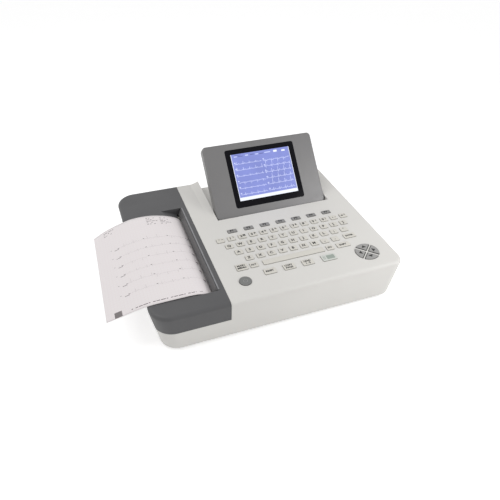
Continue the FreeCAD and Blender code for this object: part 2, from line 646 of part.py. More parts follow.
def drive_parts():
    """Idler gear on its axle, and the feed motor with its pinion and bracket."""
    idler_turn = 180 / IDLER_TEETH + 180 * (IDLER_TEETH % 2 == 1)
    bracket_v = MOTOR_V - 2.0
    axle = rod(AXLE_RADIUS, (IDLER_X, GEAR_V - 1, PLATEN_W), (IDLER_X, bracket_v, PLATEN_W))
    motor = rod(MOTOR_RADIUS, (PINION_X, MOTOR_V, PLATEN_W), (PINION_X, MOTOR_V + MOTOR_LENGTH, PLATEN_W))
    shaft = rod(MOTOR_SHAFT_RADIUS, (PINION_X, GEAR_V - 0.5, PLATEN_W), (PINION_X, MOTOR_V - 0.1, PLATEN_W))
    plate_x = (IDLER_X - BRACKET_EDGE, PINION_X + MOTOR_RADIUS)
    plate = block(*plate_x, bracket_v, MOTOR_V, PLATEN_W - MOTOR_RADIUS, PLATEN_W + 8)
    pass_radius = MOTOR_SHAFT_RADIUS + 0.5
    pass_hole = rod(pass_radius, (PINION_X, bracket_v - 1, PLATEN_W), (PINION_X, MOTOR_V + 1, PLATEN_W))
    foot_top = DECK_PLACE.multVec(Vector(0, bracket_v, PLATEN_W - MOTOR_RADIUS + 2)).z
    foot_y = DECK_PLACE.multVec(Vector(0, bracket_v, PLATEN_W - MOTOR_RADIUS)).y
    foot = block(*plate_x, foot_y + 0.2, foot_y + 1.8, FOOT_HEIGHT + FLOOR, foot_top)
    bracket = to_deck(plate.cut(pass_hole)).fuse([foot, to_deck(axle)]).removeSplitter()
    pinion_turn = 180 / PINION_TEETH if IDLER_TEETH % 2 == 0 else 0
    idler_faces = idler_turn + 180
    pinion_turn = pinion_turn + 180 - (idler_faces % (360 / IDLER_TEETH)) * IDLER_TEETH / PINION_TEETH
    pinion = placed_gear(PINION_TEETH, MOTOR_SHAFT_RADIUS / 2, PINION_X, pinion_turn)
    pinion = pinion.fuse(to_deck(shaft)).removeSplitter()
    return {"idler_gear": placed_gear(IDLER_TEETH, AXLE_RADIUS + RUNNING_CLEARANCE, IDLER_X, idler_turn),
            "motor_pinion": pinion, "feed_motor": to_deck(motor), "motor_bracket": bracket}


def print_head():
    """Thermal print head and the bracket that holds it against the platen."""
    v0 = deck_v(PAPER_CENTRE_Y - PAPER_WIDTH / 2)
    v1 = deck_v(PAPER_CENTRE_Y + PAPER_WIDTH / 2)
    x0 = NIP_X + PAPER_THICK / 2 + NIP_GAP
    top = PLATEN_W + 7
    head = block(x0, x0 + HEAD_THICK, v0, v1, top - HEAD_HEIGHT, top)
    low = DECK_PLACE.multVec(Vector(0, v0, top - HEAD_HEIGHT)).z
    bracket = block(x0 + HEAD_THICK, x0 + HEAD_THICK + 3, v0 + 4, v1 - 4, top - HEAD_HEIGHT, top - 2)
    foot = block(x0 + HEAD_THICK, x0 + HEAD_THICK + 3, PAPER_CENTRE_Y - 90, PAPER_CENTRE_Y + 90, 20, low + 6)
    return {"print_head": to_deck(head), "print_head_bracket": to_deck(bracket).fuse(foot).removeSplitter()}


def paper_parts():
    """Paper roll on its shaft, and the printed strip that leaves through the slot."""
    v0 = deck_v(PAPER_CENTRE_Y - PAPER_WIDTH / 2)
    v1 = deck_v(PAPER_CENTRE_Y + PAPER_WIDTH / 2)
    roll = rod(ROLL_RADIUS, (ROLL_X, v0, ROLL_W), (ROLL_X, v1, ROLL_W))
    roll = roll.cut(rod(ROLL_CORE_RADIUS, (ROLL_X, v0 - 1, ROLL_W), (ROLL_X, v1 + 1, ROLL_W)))
    shaft = rod(PAPER_SHAFT_RADIUS, (ROLL_X, v0 - 8, ROLL_W), (ROLL_X, v1 + 8, ROLL_W))
    hubs = [rod(ROLL_CORE_RADIUS, (ROLL_X, v, ROLL_W), (ROLL_X, v + 10, ROLL_W)) for v in (v0, v1 - 10)]
    return {"paper_roll": to_deck(roll), "paper_shaft": to_deck(shaft.fuse(hubs).removeSplitter()),
            "paper_strip": to_deck(paper_strip(v0, v1))}


STRIP_BEND_RADIUS = 24.0
STRIP_RISE = 2.0
STRIP_BULGE = 10.4
STRIP_END_X = -262.0
STRIP_END_W = -18.0


def paper_strip(v0, v1):
    """The strip from the nip up through the slot, over to the left and out past the cover."""
    half = PAPER_THICK / 2
    low = PLATEN_W - 1
    top = STRIP_RISE

    def profile(offset):
        bend = STRIP_BEND_RADIUS + offset
        centre_x = NIP_X - STRIP_BEND_RADIUS
        centre_w = top - STRIP_BEND_RADIUS
        start = Vector(NIP_X + offset, v0, low)
        side = Vector(NIP_X + offset, v0, centre_w)
        diagonal = Vector(centre_x + bend * math.sqrt(0.5), v0, centre_w + bend * math.sqrt(0.5))
        crest = Vector(centre_x, v0, centre_w + bend)
        middle_x = (centre_x + STRIP_END_X) / 2
        middle = Vector(middle_x, v0, (top + STRIP_END_W) / 2 + STRIP_BULGE + offset)
        end = Vector(STRIP_END_X, v0, STRIP_END_W + offset)
        return start, side, diagonal, crest, middle, end

    outer = profile(half)
    inner = profile(-half)
    edges = [Part.LineSegment(inner[0], outer[0]).toShape()]
    for points in (outer, inner):
        edges.append(Part.LineSegment(points[0], points[1]).toShape())
        edges.append(Part.Arc(points[1], points[2], points[3]).toShape())
        edges.append(Part.Arc(points[3], points[4], points[5]).toShape())
    edges.append(Part.LineSegment(outer[5], inner[5]).toShape())
    wire = Part.Wire(Part.__sortEdges__(edges))
    return Part.Face(wire).extrude(Vector(0, v1 - v0, 0))


def display():
    """Tilting display: front bezel, rear cover, window and liquid crystal module."""
    x0, x1 = PANEL_X0, PANEL_X0 + PANEL_WIDTH
    v0, v1 = PANEL_LOW, PANEL_LOW + PANEL_HEIGHT
    split = PANEL_FACE - BEZEL_DEPTH
    back = PANEL_FACE - PANEL_THICK
    wx0, wx1 = WINDOW_X - WINDOW_WIDTH / 2, WINDOW_X + WINDOW_WIDTH / 2
    wv0 = PANEL_LOW + WINDOW_LOW
    wv1 = wv0 + WINDOW_HEIGHT
    window_back = PANEL_FACE - WINDOW_SINK - WINDOW_THICK
    bezel = rounded_block(x0, x1, v0, v1, split, PANEL_FACE, PANEL_CORNER)
    bezel = bezel.makeFillet(PANEL_EDGE, edges_on(bezel, lambda p: abs(p.z - PANEL_FACE) < 1e-6))
    cavity = rounded_block(x0 + PANEL_WALL, x1 - PANEL_WALL, v0 + 13, v1 - PANEL_WALL, split - 1,
                           window_back - PANEL_WALL, PANEL_CORNER - PANEL_WALL)
    window_hole = rounded_block(wx0, wx1, wv0, wv1, window_back, PANEL_FACE + 1, WINDOW_CORNER)
    lcd_x0, lcd_x1 = WINDOW_X - LCD_WIDTH / 2, WINDOW_X + LCD_WIDTH / 2
    lcd_v0 = (wv0 + wv1 - LCD_HEIGHT) / 2 + LCD_RAISE
    lcd_hole = block(lcd_x0, lcd_x1, lcd_v0, lcd_v0 + LCD_HEIGHT, split - 1, PANEL_FACE)
    rear = rounded_block(x0, x1, v0, v1, back, split, PANEL_CORNER)
    rear = rear.makeFillet(PANEL_EDGE, edges_on(rear, lambda p: abs(p.z - back) < 1e-6))
    rear_cavity = rounded_block(x0 + PANEL_WALL, x1 - PANEL_WALL, v0 + 13, v1 - PANEL_WALL,
                                back + PANEL_WALL, split + 1, PANEL_CORNER - PANEL_WALL)
    pin_bore = HINGE_PIN_RADIUS + RUNNING_CLEARANCE
    reach = HINGE_PIN_REACH + 1
    bores = [rod(pin_bore, (start, 0, 0), (end, 0, 0))
             for start, end in ((x0 - 1, x0 + reach), (x1 - reach, x1 + 1))]
    lcd = block(lcd_x0 + 0.2, lcd_x1 - 0.2, lcd_v0 + 0.2, lcd_v0 + LCD_HEIGHT - 0.2,
                window_back - LCD_THICK, window_back)
    window = rounded_block(wx0 + 0.1, wx1 - 0.1, wv0 + 0.1, wv1 - 0.1, window_back, PANEL_FACE - WINDOW_SINK,
                           WINDOW_CORNER)
    pieces = {"display_bezel": bezel.cut([cavity, window_hole, lcd_hole, *bores]),
              "display_rear_cover": rear.cut([rear_cavity, *bores]),
              "lcd_module": lcd, "display_window": window}
    return {name: to_panel(shape, REST_ANGLE) for name, shape in pieces.items()}


def hinge_pins():
    """The two pins in the well's side walls that the display turns on."""
    x0, x1 = PANEL_X0, PANEL_X0 + PANEL_WIDTH
    out = WELL_CLEARANCE + WALL
    spans = ((x0 - out, x0 + HINGE_PIN_REACH), (x1 - HINGE_PIN_REACH, x1 + out))
    return Part.makeCompound([rod(HINGE_PIN_RADIUS, (start, HINGE_Y, HINGE_Z), (end, HINGE_Y, HINGE_Z))
                              for start, end in spans])


PORT_Z = sum(PORT_BAY_HEIGHT) / 2
PATIENT_SOCKET = (-30.0, 39.0, 12.5)
DATA_PORTS = ((8.0, 12.5, 7.0), (24.0, 12.5, 7.0), (44.0, 16.0, 13.5))
INLET = (70.0, 27.0, 19.8)
EARTH_X = 120.0
EARTH_RADIUS = 3.0
CONNECTOR_DEPTH = 14.0


def side_connector(y, width, height, grow, x0, x1):
    """Rectangular connector body through the right-hand panel."""
    half_width, half_height = width / 2 + grow, height / 2 + grow
    return block(x0, x1, y - half_width, y + half_width, PORT_Z - half_height, PORT_Z + half_height)


def connector_holes():
    """Openings in the two connector panels."""
    x0, x1 = PORT_PANEL_X - WALL - 1, PORT_PANEL_X + 1
    holes = [side_connector(*c, 0, x0, x1) for c in (PATIENT_SOCKET, *DATA_PORTS)]
    x, width, height = INLET
    y0, y1 = REAR_PANEL_Y - WALL - 1, REAR_PANEL_Y + 1
    holes.append(block(x - width / 2, x + width / 2, y0, y1, PORT_Z - height / 2, PORT_Z + height / 2))
    holes.append(rod(EARTH_RADIUS, (EARTH_X, y0, PORT_Z), (EARTH_X, y1, PORT_Z)))
    return holes


def connectors():
    """Patient cable socket, data ports, mains inlet and earth terminal."""
    inside = PORT_PANEL_X - CONNECTOR_DEPTH
    y, width, height = PATIENT_SOCKET
    shell = side_connector(y, width - 8, height - 3, 0, PORT_PANEL_X, PORT_PANEL_X + 5)
    hollow = side_connector(y, width - 8, height - 3, -1, PORT_PANEL_X + 1, PORT_PANEL_X + 6)
    patient = side_connector(*PATIENT_SOCKET, 0, inside, PORT_PANEL_X).fuse(shell).cut(hollow)
    ports = []
    for port in DATA_PORTS:
        body = side_connector(*port, 0, inside, PORT_PANEL_X + 1)
        ports.append(body.cut(side_connector(*port, -1, PORT_PANEL_X - 9, PORT_PANEL_X + 2)))
    x, width, height = INLET
    inlet = block(x - width / 2, x + width / 2, REAR_PANEL_Y - 22, REAR_PANEL_Y + 2, PORT_Z - height / 2,
                  PORT_Z + height / 2)
    socket = block(x - width / 2 + 2, x + width / 2 - 2, REAR_PANEL_Y - 15, REAR_PANEL_Y + 3,
                   PORT_Z - height / 2 + 2, PORT_Z + height / 2 - 2)
    blades = [block(x + dx - 1, x + dx + 1, REAR_PANEL_Y - 15, REAR_PANEL_Y - 3,
                    PORT_Z + dz - 2, PORT_Z + dz + 2)
              for dx, dz in ((-7, -2), (0, 2), (7, -2))]
    stud = rod(EARTH_RADIUS, (EARTH_X, REAR_PANEL_Y - 10, PORT_Z), (EARTH_X, REAR_PANEL_Y + 10, PORT_Z))
    collar = rod(EARTH_RADIUS + 2, (EARTH_X, REAR_PANEL_Y, PORT_Z), (EARTH_X, REAR_PANEL_Y + 2, PORT_Z))
    return {"patient_socket": patient.removeSplitter(), "data_ports": Part.makeCompound(ports),
            "mains_inlet": inlet.cut(socket).fuse(blades).removeSplitter(),
            "earth_terminal": stud.fuse(collar).removeSplitter()}


def board_posts(x0, x1, y0, y1):
    """Posts near a board's corners, from the housing floor up to the board."""
    return [Part.makeCylinder(POST_RADIUS, STANDOFF, Vector(x, y, FOOT_HEIGHT + FLOOR))
            for x in (x0 + POST_INSET, x1 - POST_INSET) for y in (y0 + POST_INSET, y1 - POST_INSET)]


def electronics():
    """Main board, power supply and battery on the floor of the lower housing."""
    floor = FOOT_HEIGHT + FLOOR
    face = floor + STANDOFF + BOARD_THICK
    main = block(*MAIN_BOARD, floor + STANDOFF, face)
    chips = [block(x, x + dx, y, y + dy, face, face + CHIP_HEIGHT) for x, y, dx, dy in MAIN_CHIPS]
    supply = block(*SUPPLY_BOARD, floor + STANDOFF, face)
    can_x, can_y, can_radius, can_height = CAPACITOR
    lumps = [block(*TRANSFORMER, face, floor + STANDOFF + TRANSFORMER_HEIGHT),
             Part.makeCylinder(can_radius, can_height, Vector(can_x, can_y, face)),
             block(*HEAT_SINK, face, floor + STANDOFF + HEAT_SINK_HEIGHT)]
    x, y = BATTERY_CENTRE
    length, width, height = BATTERY
    battery = rounded_block(x - length / 2, x + length / 2, y - width / 2, y + width / 2,
                            floor, floor + height, 4)
    cover = rounded_block(x - length / 2 - 3.7, x + length / 2 + 3.7,
                          y - width / 2 - 3.7, y + width / 2 + 3.7, FOOT_HEIGHT, floor, 2.7)
    return {"main_board": main.fuse(chips + board_posts(*MAIN_BOARD)).removeSplitter(),
            "power_supply": supply.fuse(lumps + board_posts(*SUPPLY_BOARD)).removeSplitter(),
            "battery_pack": battery, "battery_cover": cover}


def fittings():
    """Feet, housing screws, printer rails and the tear bar."""
    feet = [Part.makeCone(FOOT_RADIUS - 1, FOOT_RADIUS, FOOT_HEIGHT, Vector(x, y, 0))
            for x, y in foot_places()]
    screws = []
    for x, y in screw_places():
        head = Part.makeCylinder(SCREW_HEAD_RADIUS - 0.1, 2.2, Vector(x, y, FOOT_HEIGHT - 0.6))
        shank = Part.makeCylinder(SCREW_RADIUS - 0.1, SCREW_LENGTH, Vector(x, y, FOOT_HEIGHT + 1.6))
        screws.append(head.fuse(shank).removeSplitter())
    rails = [block(RAIL_X0, RAIL_X1, y0, y1, RAIL_TOP - RAIL_HEIGHT, RAIL_TOP) for y0, y1 in rail_spans()]
    v0, v1 = pocket_span()
    bar_x = SLOT_RIGHT + 0.8
    bar = to_deck(block(bar_x, bar_x + TEAR_BAR_WIDTH, v0 + 2, v1 - 2, 0, TEAR_BAR_RISE))
    return {"rubber_feet": Part.makeCompound(feet), "housing_screws": Part.makeCompound(screws),
            "printer_rails": Part.makeCompound(rails), "tear_bar": bar}


def main():
    """Builds every piece and writes one STEP file for each."""
    os.makedirs("parts", exist_ok=True)
    pieces = {"lower_housing": lower_housing(), "upper_housing": upper_housing(),
              "printer_cover": printer_cover(), "keypad_board": KEY_BOARD, "display_hinge_pins": hinge_pins()}
    for group in (keys(), platen_parts(), drive_parts(), print_head(), paper_parts(), display(), connectors(),
                  electronics(), fittings()):
        pieces.update(group)
    for name, shape in pieces.items():
        shape.exportStep(f"parts/{name}.step")
        solids = shape.Solids
        print(name, "solids", len(solids), "volume", round(shape.Volume, 1), "valid", shape.isValid())
    print(len(pieces), "nodes")


main()
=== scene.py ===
"""Looks of the desktop electrocardiograph: finishes, keys, lit screen, printed paper, studio and camera."""

import logging
import math
from collections.abc import Iterable, Sequence
from dataclasses import dataclass, field
from enum import Enum

import bmesh
import bpy
from mathutils import Matrix, Vector


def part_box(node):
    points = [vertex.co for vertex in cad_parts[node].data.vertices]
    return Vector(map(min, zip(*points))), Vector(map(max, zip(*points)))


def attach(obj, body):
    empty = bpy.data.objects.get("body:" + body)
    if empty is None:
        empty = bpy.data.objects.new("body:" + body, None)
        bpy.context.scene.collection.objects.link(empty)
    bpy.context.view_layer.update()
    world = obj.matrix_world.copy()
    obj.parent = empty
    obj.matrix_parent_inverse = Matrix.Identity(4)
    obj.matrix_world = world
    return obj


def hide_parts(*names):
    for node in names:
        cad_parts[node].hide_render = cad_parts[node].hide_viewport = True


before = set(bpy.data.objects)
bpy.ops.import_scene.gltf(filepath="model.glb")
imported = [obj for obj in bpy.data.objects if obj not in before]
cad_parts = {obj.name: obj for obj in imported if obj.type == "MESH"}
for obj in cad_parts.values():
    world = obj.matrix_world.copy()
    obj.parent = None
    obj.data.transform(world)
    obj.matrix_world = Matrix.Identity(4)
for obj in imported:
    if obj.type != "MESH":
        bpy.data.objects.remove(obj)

logging.basicConfig(level=logging.INFO, format="%(message)s")
LOG = logging.getLogger("electrocardiograph")
MM = 0.001
Point2 = tuple[float, float]
Point3 = tuple[float, float, float]
Colour = tuple[float, float, float]
Box = tuple[float, float, float, float]
Material = bpy.types.Material
Socket = bpy.types.NodeSocket
Corner = bmesh.types.BMVert


class Slot(Enum):
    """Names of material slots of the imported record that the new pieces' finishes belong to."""

    CHARACTER_KEY = "character_key"
    GREY_KEY = "grey_key"
    GREEN_KEY = "green_key"
    INK = "black_plastic"
    SCREEN = "lcd"
    PAPER = "thermal_paper"
    STEEL = "steel"
    BRONZE = "bronze_bush"


def tint(colour: Colour, factor: float) -> Colour:
    """A colour made darker or paler by a factor, up to white."""
    return tuple(min(c * factor, 1.0) for c in colour)


def polar(radius: float, angle: float) -> Point2:
    """The point at a distance and an angle from the origin."""
    return radius * math.cos(angle), radius * math.sin(angle)


def between(one: Sequence[float], two: Sequence[float], share: float) -> tuple[float, ...]:
    """The point at a share of the way from one point to another."""
    return tuple(a + (b - a) * share for a, b in zip(one, two))


def rectangle(left: float, bottom: float, right: float, top: float) -> list[Point2]:
    """The four corners of an upright rectangle."""
    return [(left, bottom), (right, bottom), (right, top), (left, top)]


class Tree:
    """A material's node tree with short calls for the nodes that the finishes need."""

    def __init__(self, name: str) -> None:
        """Starts an empty material with a Principled shader.

        Args:
            name: Name of the material.
        """
        self.material = bpy.data.materials.new(name)
        self.material.use_nodes = True
        self.nodes = self.material.node_tree.nodes
        self.links = self.material.node_tree.links
        self.shader = self.nodes["Principled BSDF"]

    def give(self, socket: str, value: float | Sequence[float]) -> None:
        """Sets one of the shader's own values."""
        self.shader.inputs[socket].default_value = value

    def add(self, kind: str, inputs: dict[str | int, object] | None = None,
            **values: object) -> bpy.types.Node:
        """Adds a node and sets it up.

        Args:
            kind: Node type without its ShaderNode prefix.
            inputs: Values of its inputs.
            **values: Properties of the node.

        Returns:
            The new node.
        """
        node = self.nodes.new("ShaderNode" + kind)
        for key, value in values.items():
            setattr(node, key, value)
        for socket, value in (inputs or {}).items():
            node.inputs[socket].default_value = value
        return node

    def link(self, source: Socket, node: bpy.types.Node, socket: str | int) -> None:
        """Joins an output to a node's input."""
        self.links.new(source, node.inputs[socket])

    def noise(self, scale: float, detail: float = 3.0, roughness: float = 0.55,
              stretch: Point3 = (1, 1, 1)) -> Socket:
        """Noise in the object's own metres.

        Args:
            scale: Cells per metre.
            detail: Octaves.
            roughness: How strong the finer octaves are.
            stretch: Factors along the axes.

        Returns:
            The noise's value, from 0 to 1.
        """
        coordinates = self.add("TexCoord")
        mapping = self.add("Mapping", {"Scale": stretch})
        node = self.add("TexNoise", {"Scale": scale, "Detail": detail, "Roughness": roughness})
        self.link(coordinates.outputs["Object"], mapping, "Vector")
        self.link(mapping.outputs["Vector"], node, "Vector")
        return node.outputs["Fac"]

    def ramp(self, value: Socket, low: Colour, high: Colour, start: float = 0.3, end: float = 0.7) -> Socket:
        """Colour between two tints by a value.

        Args:
            value: Driving value.
            low: Tint at start and below.
            high: Tint at end and above.
            start: Value where the change starts.
            end: Value where it ends.

        Returns:
            The colour.
        """
        node = self.add("ValToRGB")
        for element, place, colour in zip(node.color_ramp.elements, (start, end), (low, high)):
            element.position = place
            element.color = (*colour, 1.0)
        self.link(value, node, "Fac")
        return node.outputs["Color"]

    def tones(self, value: Socket, low: Colour, high: Colour, start: float = 0.3, end: float = 0.7) -> None:
        """Varies the base colour between two tints by a value."""
        self.link(self.ramp(value, low, high, start, end), self.shader, "Base Color")

    def gloss(self, value: Socket, low: float, high: float) -> None:
        """Varies the roughness by a noise.

        Args:
            value: The noise, of which the part from 0.25 to 0.75 is spread over the range.
            low: Least roughness.
            high: Greatest roughness.
        """
        node = self.add("MapRange", {"From Min": 0.25, "From Max": 0.75, "To Min": low, "To Max": high})
        self.link(value, node, "Value")
        self.link(node.outputs["Result"], self.shader, "Roughness")

    def bump(self, height: Socket, distance: float, strength: float) -> None:
        """Roughens the surface.

        Args:
            height: Height over the surface, from 0 to 1.
            distance: What a height of 1 stands for, in metres.
            strength: Share of the bump that shows.
        """
        node = self.add("Bump", {"Distance": distance, "Strength": strength})
        self.link(height, node, "Height")
        self.link(node.outputs["Normal"], self.shader, "Normal")


@dataclass(frozen=True)
class Moulding:
    """Moulded plastic or rubber with a fine spark-eroded grain, faint flow shades and uneven gloss."""

    name: str
    colour: Colour
    roughness: float = 0.45
    grain: float = 1500.0
    depth: float = 0.03 * MM
    shade: float = 0.03
    specular: float = 0.4
    flow: float = 9.0
    patches: float = 40.0

    def make(self) -> Material:
        """Builds the material.

        Returns:
            The material.
        """
        tree = Tree(self.name)
        tree.tones(tree.noise(self.flow, detail=2.0), tint(self.colour, 1 - self.shade),
                   tint(self.colour, 1 + self.shade))
        tree.gloss(tree.noise(self.patches), self.roughness - 0.05, self.roughness + 0.06)
        tree.give("Specular IOR Level", self.specular)
        tree.bump(tree.noise(self.grain, detail=2.0), self.depth, strength=0.6)
        return tree.material


@dataclass(frozen=True)
class Silicone(Moulding):
    """Silicone rubber of the keys, with a finer and shallower grain."""

    roughness: float = 0.55
    grain: float = 2200.0
    depth: float = 0.02 * MM
    shade: float = 0.05
    specular: float = 0.3


@dataclass(frozen=True)
class Ink(Moulding):
    """Ink printed on a key, thin and dull."""

    roughness: float = 0.6
    grain: float = 2500.0
    depth: float = 0.01 * MM
    shade: float = 0.05
    specular: float = 0.2


@dataclass(frozen=True)
class ThermalPrint(Ink):
    """Darkened coating of the paper, duller than ink and uneven."""

    roughness: float = 0.7
    shade: float = 0.2
    specular: float = 0.1


@dataclass(frozen=True)
class Paint:
    """Sprayed grey paint with fine metal flakes, a soft sheen and orange peel."""

    name: str
    colour: Colour
    roughness: float = 0.38
    flake: float = 0.35
    flakes: float = 3200.0
    flake_tints: Point2 = (0.93, 1.07)
    patches: float = 60.0
    peel: float = 700.0
    depth: float = 0.02 * MM

    def make(self) -> Material:
        """Builds the material.

        Returns:
            The material.
        """
        tree = Tree(self.name)
        flakes = tree.noise(self.flakes, detail=2.0, roughness=0.7)
        tree.tones(flakes, *(tint(self.colour, factor) for factor in self.flake_tints))
        tree.gloss(tree.noise(self.patches), self.roughness - 0.04, self.roughness + 0.05)
        tree.give("Metallic", self.flake)
        tree.bump(tree.noise(self.peel, detail=2.0), self.depth, strength=0.4)
        return tree.material


@dataclass(frozen=True)
class Metal:
    """Bare or plated metal with fine lines from rolling or turning."""

    name: str
    colour: Colour
    roughness: float = 0.3
    lines: Point3 = (0.06, 1.0, 1.0)
    fineness: float = 2600.0
    smudges: float = 60.0
    smudge_tint: float = 0.82
    depth: float = 0.01 * MM

    def make(self) -> Material:
        """Builds the material.

        Returns:
            The material.
        """
        tree = Tree(self.name)
        lines = tree.noise(self.fineness, roughness=0.6, stretch=self.lines)
        tree.tones(tree.noise(self.smudges, detail=4.0), tint(self.colour, self.smudge_tint), self.colour)
        tree.gloss(lines, self.roughness - 0.08, self.roughness + 0.1)
        tree.give("Metallic", 1.0)
        tree.bump(lines, self.depth, strength=0.5)
        return tree.material


@dataclass(frozen=True)
class BoardLaminate:
    """Solder-masked circuit board with a faint weave and copper tracks under the mask."""

    name: str
    mask: Colour
    track: Colour
    tracks: float = 90.0
    track_width: float = 0.03
    weave: float = 300.0
    roughness: Point2 = (0.3, 0.45)
    depth: float = 0.03 * MM

    def make(self) -> Material:
        """Builds the material.

        Returns:
            The material.
        """
        tree = Tree(self.name)
        brick = tree.add("TexBrick", {"Scale": self.tracks, "Mortar Size": self.track_width,
                                      "Color1": (*self.mask, 1), "Color2": (*tint(self.mask, 0.8), 1),
                                      "Mortar": (*self.track, 1)}, offset=0.37)
        tree.link(tree.add("TexCoord").outputs["Object"], brick, "Vector")
        tree.link(brick.outputs["Color"], tree.shader, "Base Color")
        tree.gloss(tree.noise(self.weave), *self.roughness)
        tree.bump(brick.outputs["Fac"], self.depth, strength=0.5)
        return tree.material


@dataclass(frozen=True)
class BlackBackedWindow:
    """Black-backed clear window: deep black under a polished face with faint dust."""

    name: str
    colour: Colour = (0.006, 0.006, 0.008)
    dust: float = 500.0
    dust_tint: float = 2.2
    smears: float = 35.0
    roughness: Point2 = (0.08, 0.16)
    specular: float = 0.05

    def make(self) -> Material:
        """Builds the material.

        Returns:
            The material.
        """
        tree = Tree(self.name)
        dust = tree.noise(self.dust, detail=5.0, roughness=0.7)
        tree.tones(dust, self.colour, tint(self.colour, self.dust_tint), start=0.45, end=0.75)
        tree.gloss(tree.noise(self.smears, detail=4.0), *self.roughness)
        tree.give("Specular IOR Level", self.specular)
        return tree.material


@dataclass(frozen=True)
class ScreenGlow:
    """Backlit liquid crystal: even light with a fine dot pattern and slightly dimmer patches."""

    name: str
    colour: Colour
    dim: float = 0.9
    strength: float = 0.82
    patches: float = 18.0
    dots: float = 2400.0
    unlit: Point2 = (0.15, 0.2)
    roughness: Point2 = (0.18, 0.3)

    def make(self) -> Material:
        """Builds the material.

        Returns:
            The material.
        """
        tree = Tree(self.name)
        patch = tree.noise(self.patches, detail=2.0)
        low = tint(self.colour, self.dim)
        glow = tree.ramp(patch, low, self.colour, start=0.35, end=0.65)
        tree.link(glow, tree.shader, "Emission Color")
        tree.give("Emission Strength", self.strength)
        tree.tones(patch, tint(low, self.unlit[0]), tint(self.colour, self.unlit[1]))
        tree.gloss(tree.noise(self.dots, detail=1.0), *self.roughness)
        return tree.material


@dataclass(frozen=True)
class GridPaper:
    """Coated thermal paper with its pale pink grid, a line each millimetre and a stronger one each five."""

    name: str
    base: Colour = (0.893, 0.849, 0.853)
    fine: Colour = (0.880, 0.825, 0.830)
    bold: Colour = (0.862, 0.789, 0.796)
    fine_lines: Point2 = (1.0 * MM, 0.16)
    bold_lines: Point2 = (5.0 * MM, 0.07)
    fibres: float = 900.0
    fibre_tint: float = 0.985
    roughness: Point2 = (0.5, 0.62)
    specular: float = 0.3
    depth: float = 0.01 * MM

    def lines(self, tree: Tree, axis: str, pitch: float, share: float) -> Socket:
        """One set of parallel lines.

        Args:
            tree: The material's tree.
            axis: X or Y of the sheet's own map.
            pitch: Distance between lines, in metres.
            share: Width of a line over the pitch.

        Returns:
            1 on a line and 0 beside it.
        """
        uv = tree.add("UVMap", uv_map="sheet")
        split = tree.add("SeparateXYZ")
        step = tree.add("Math", {1: pitch}, operation="DIVIDE")
        part = tree.add("Math", operation="FRACT")
        below = tree.add("Math", {1: share}, operation="LESS_THAN")
        tree.link(uv.outputs["UV"], split, "Vector")
        tree.link(split.outputs[axis], step, 0)
        tree.link(step.outputs[0], part, 0)
        tree.link(part.outputs[0], below, 0)
        return below.outputs[0]

    def ruled(self, tree: Tree, under: Socket, colour: Colour, pitch: float, share: float) -> Socket:
        """Rules lines both ways over a colour.

        Args:
            tree: The material's tree.
            under: Colour beside the lines.
            colour: Colour of the lines.
            pitch: Distance between lines, in metres.
            share: Width of a line over the pitch.

        Returns:
            The ruled colour.
        """
        crossed = tree.add("Math", operation="MAXIMUM")
        for i, axis in enumerate("XY"):
            tree.link(self.lines(tree, axis, pitch, share), crossed, i)
        colour_a, colour_b, mixed = 6, 7, 2
        mix = tree.add("Mix", {colour_b: (*colour, 1)}, data_type="RGBA")
        tree.link(crossed.outputs[0], mix, "Factor")
        tree.link(under, mix, colour_a)
        return mix.outputs[mixed]

    def make(self) -> Material:
        """Builds the material.

        Returns:
            The material.
        """
        tree = Tree(self.name)
        fibre = tree.noise(self.fibres, detail=4.0, roughness=0.7)
        sheet = tree.ramp(fibre, tint(self.base, self.fibre_tint), self.base)
        fine = self.ruled(tree, sheet, self.fine, *self.fine_lines)
        bold = self.ruled(tree, fine, self.bold, *self.bold_lines)
        tree.link(bold, tree.shader, "Base Color")
        tree.gloss(fibre, *self.roughness)
        tree.give("Specular IOR Level", self.specular)
        tree.bump(fibre, self.depth, strength=0.4)
        return tree.material


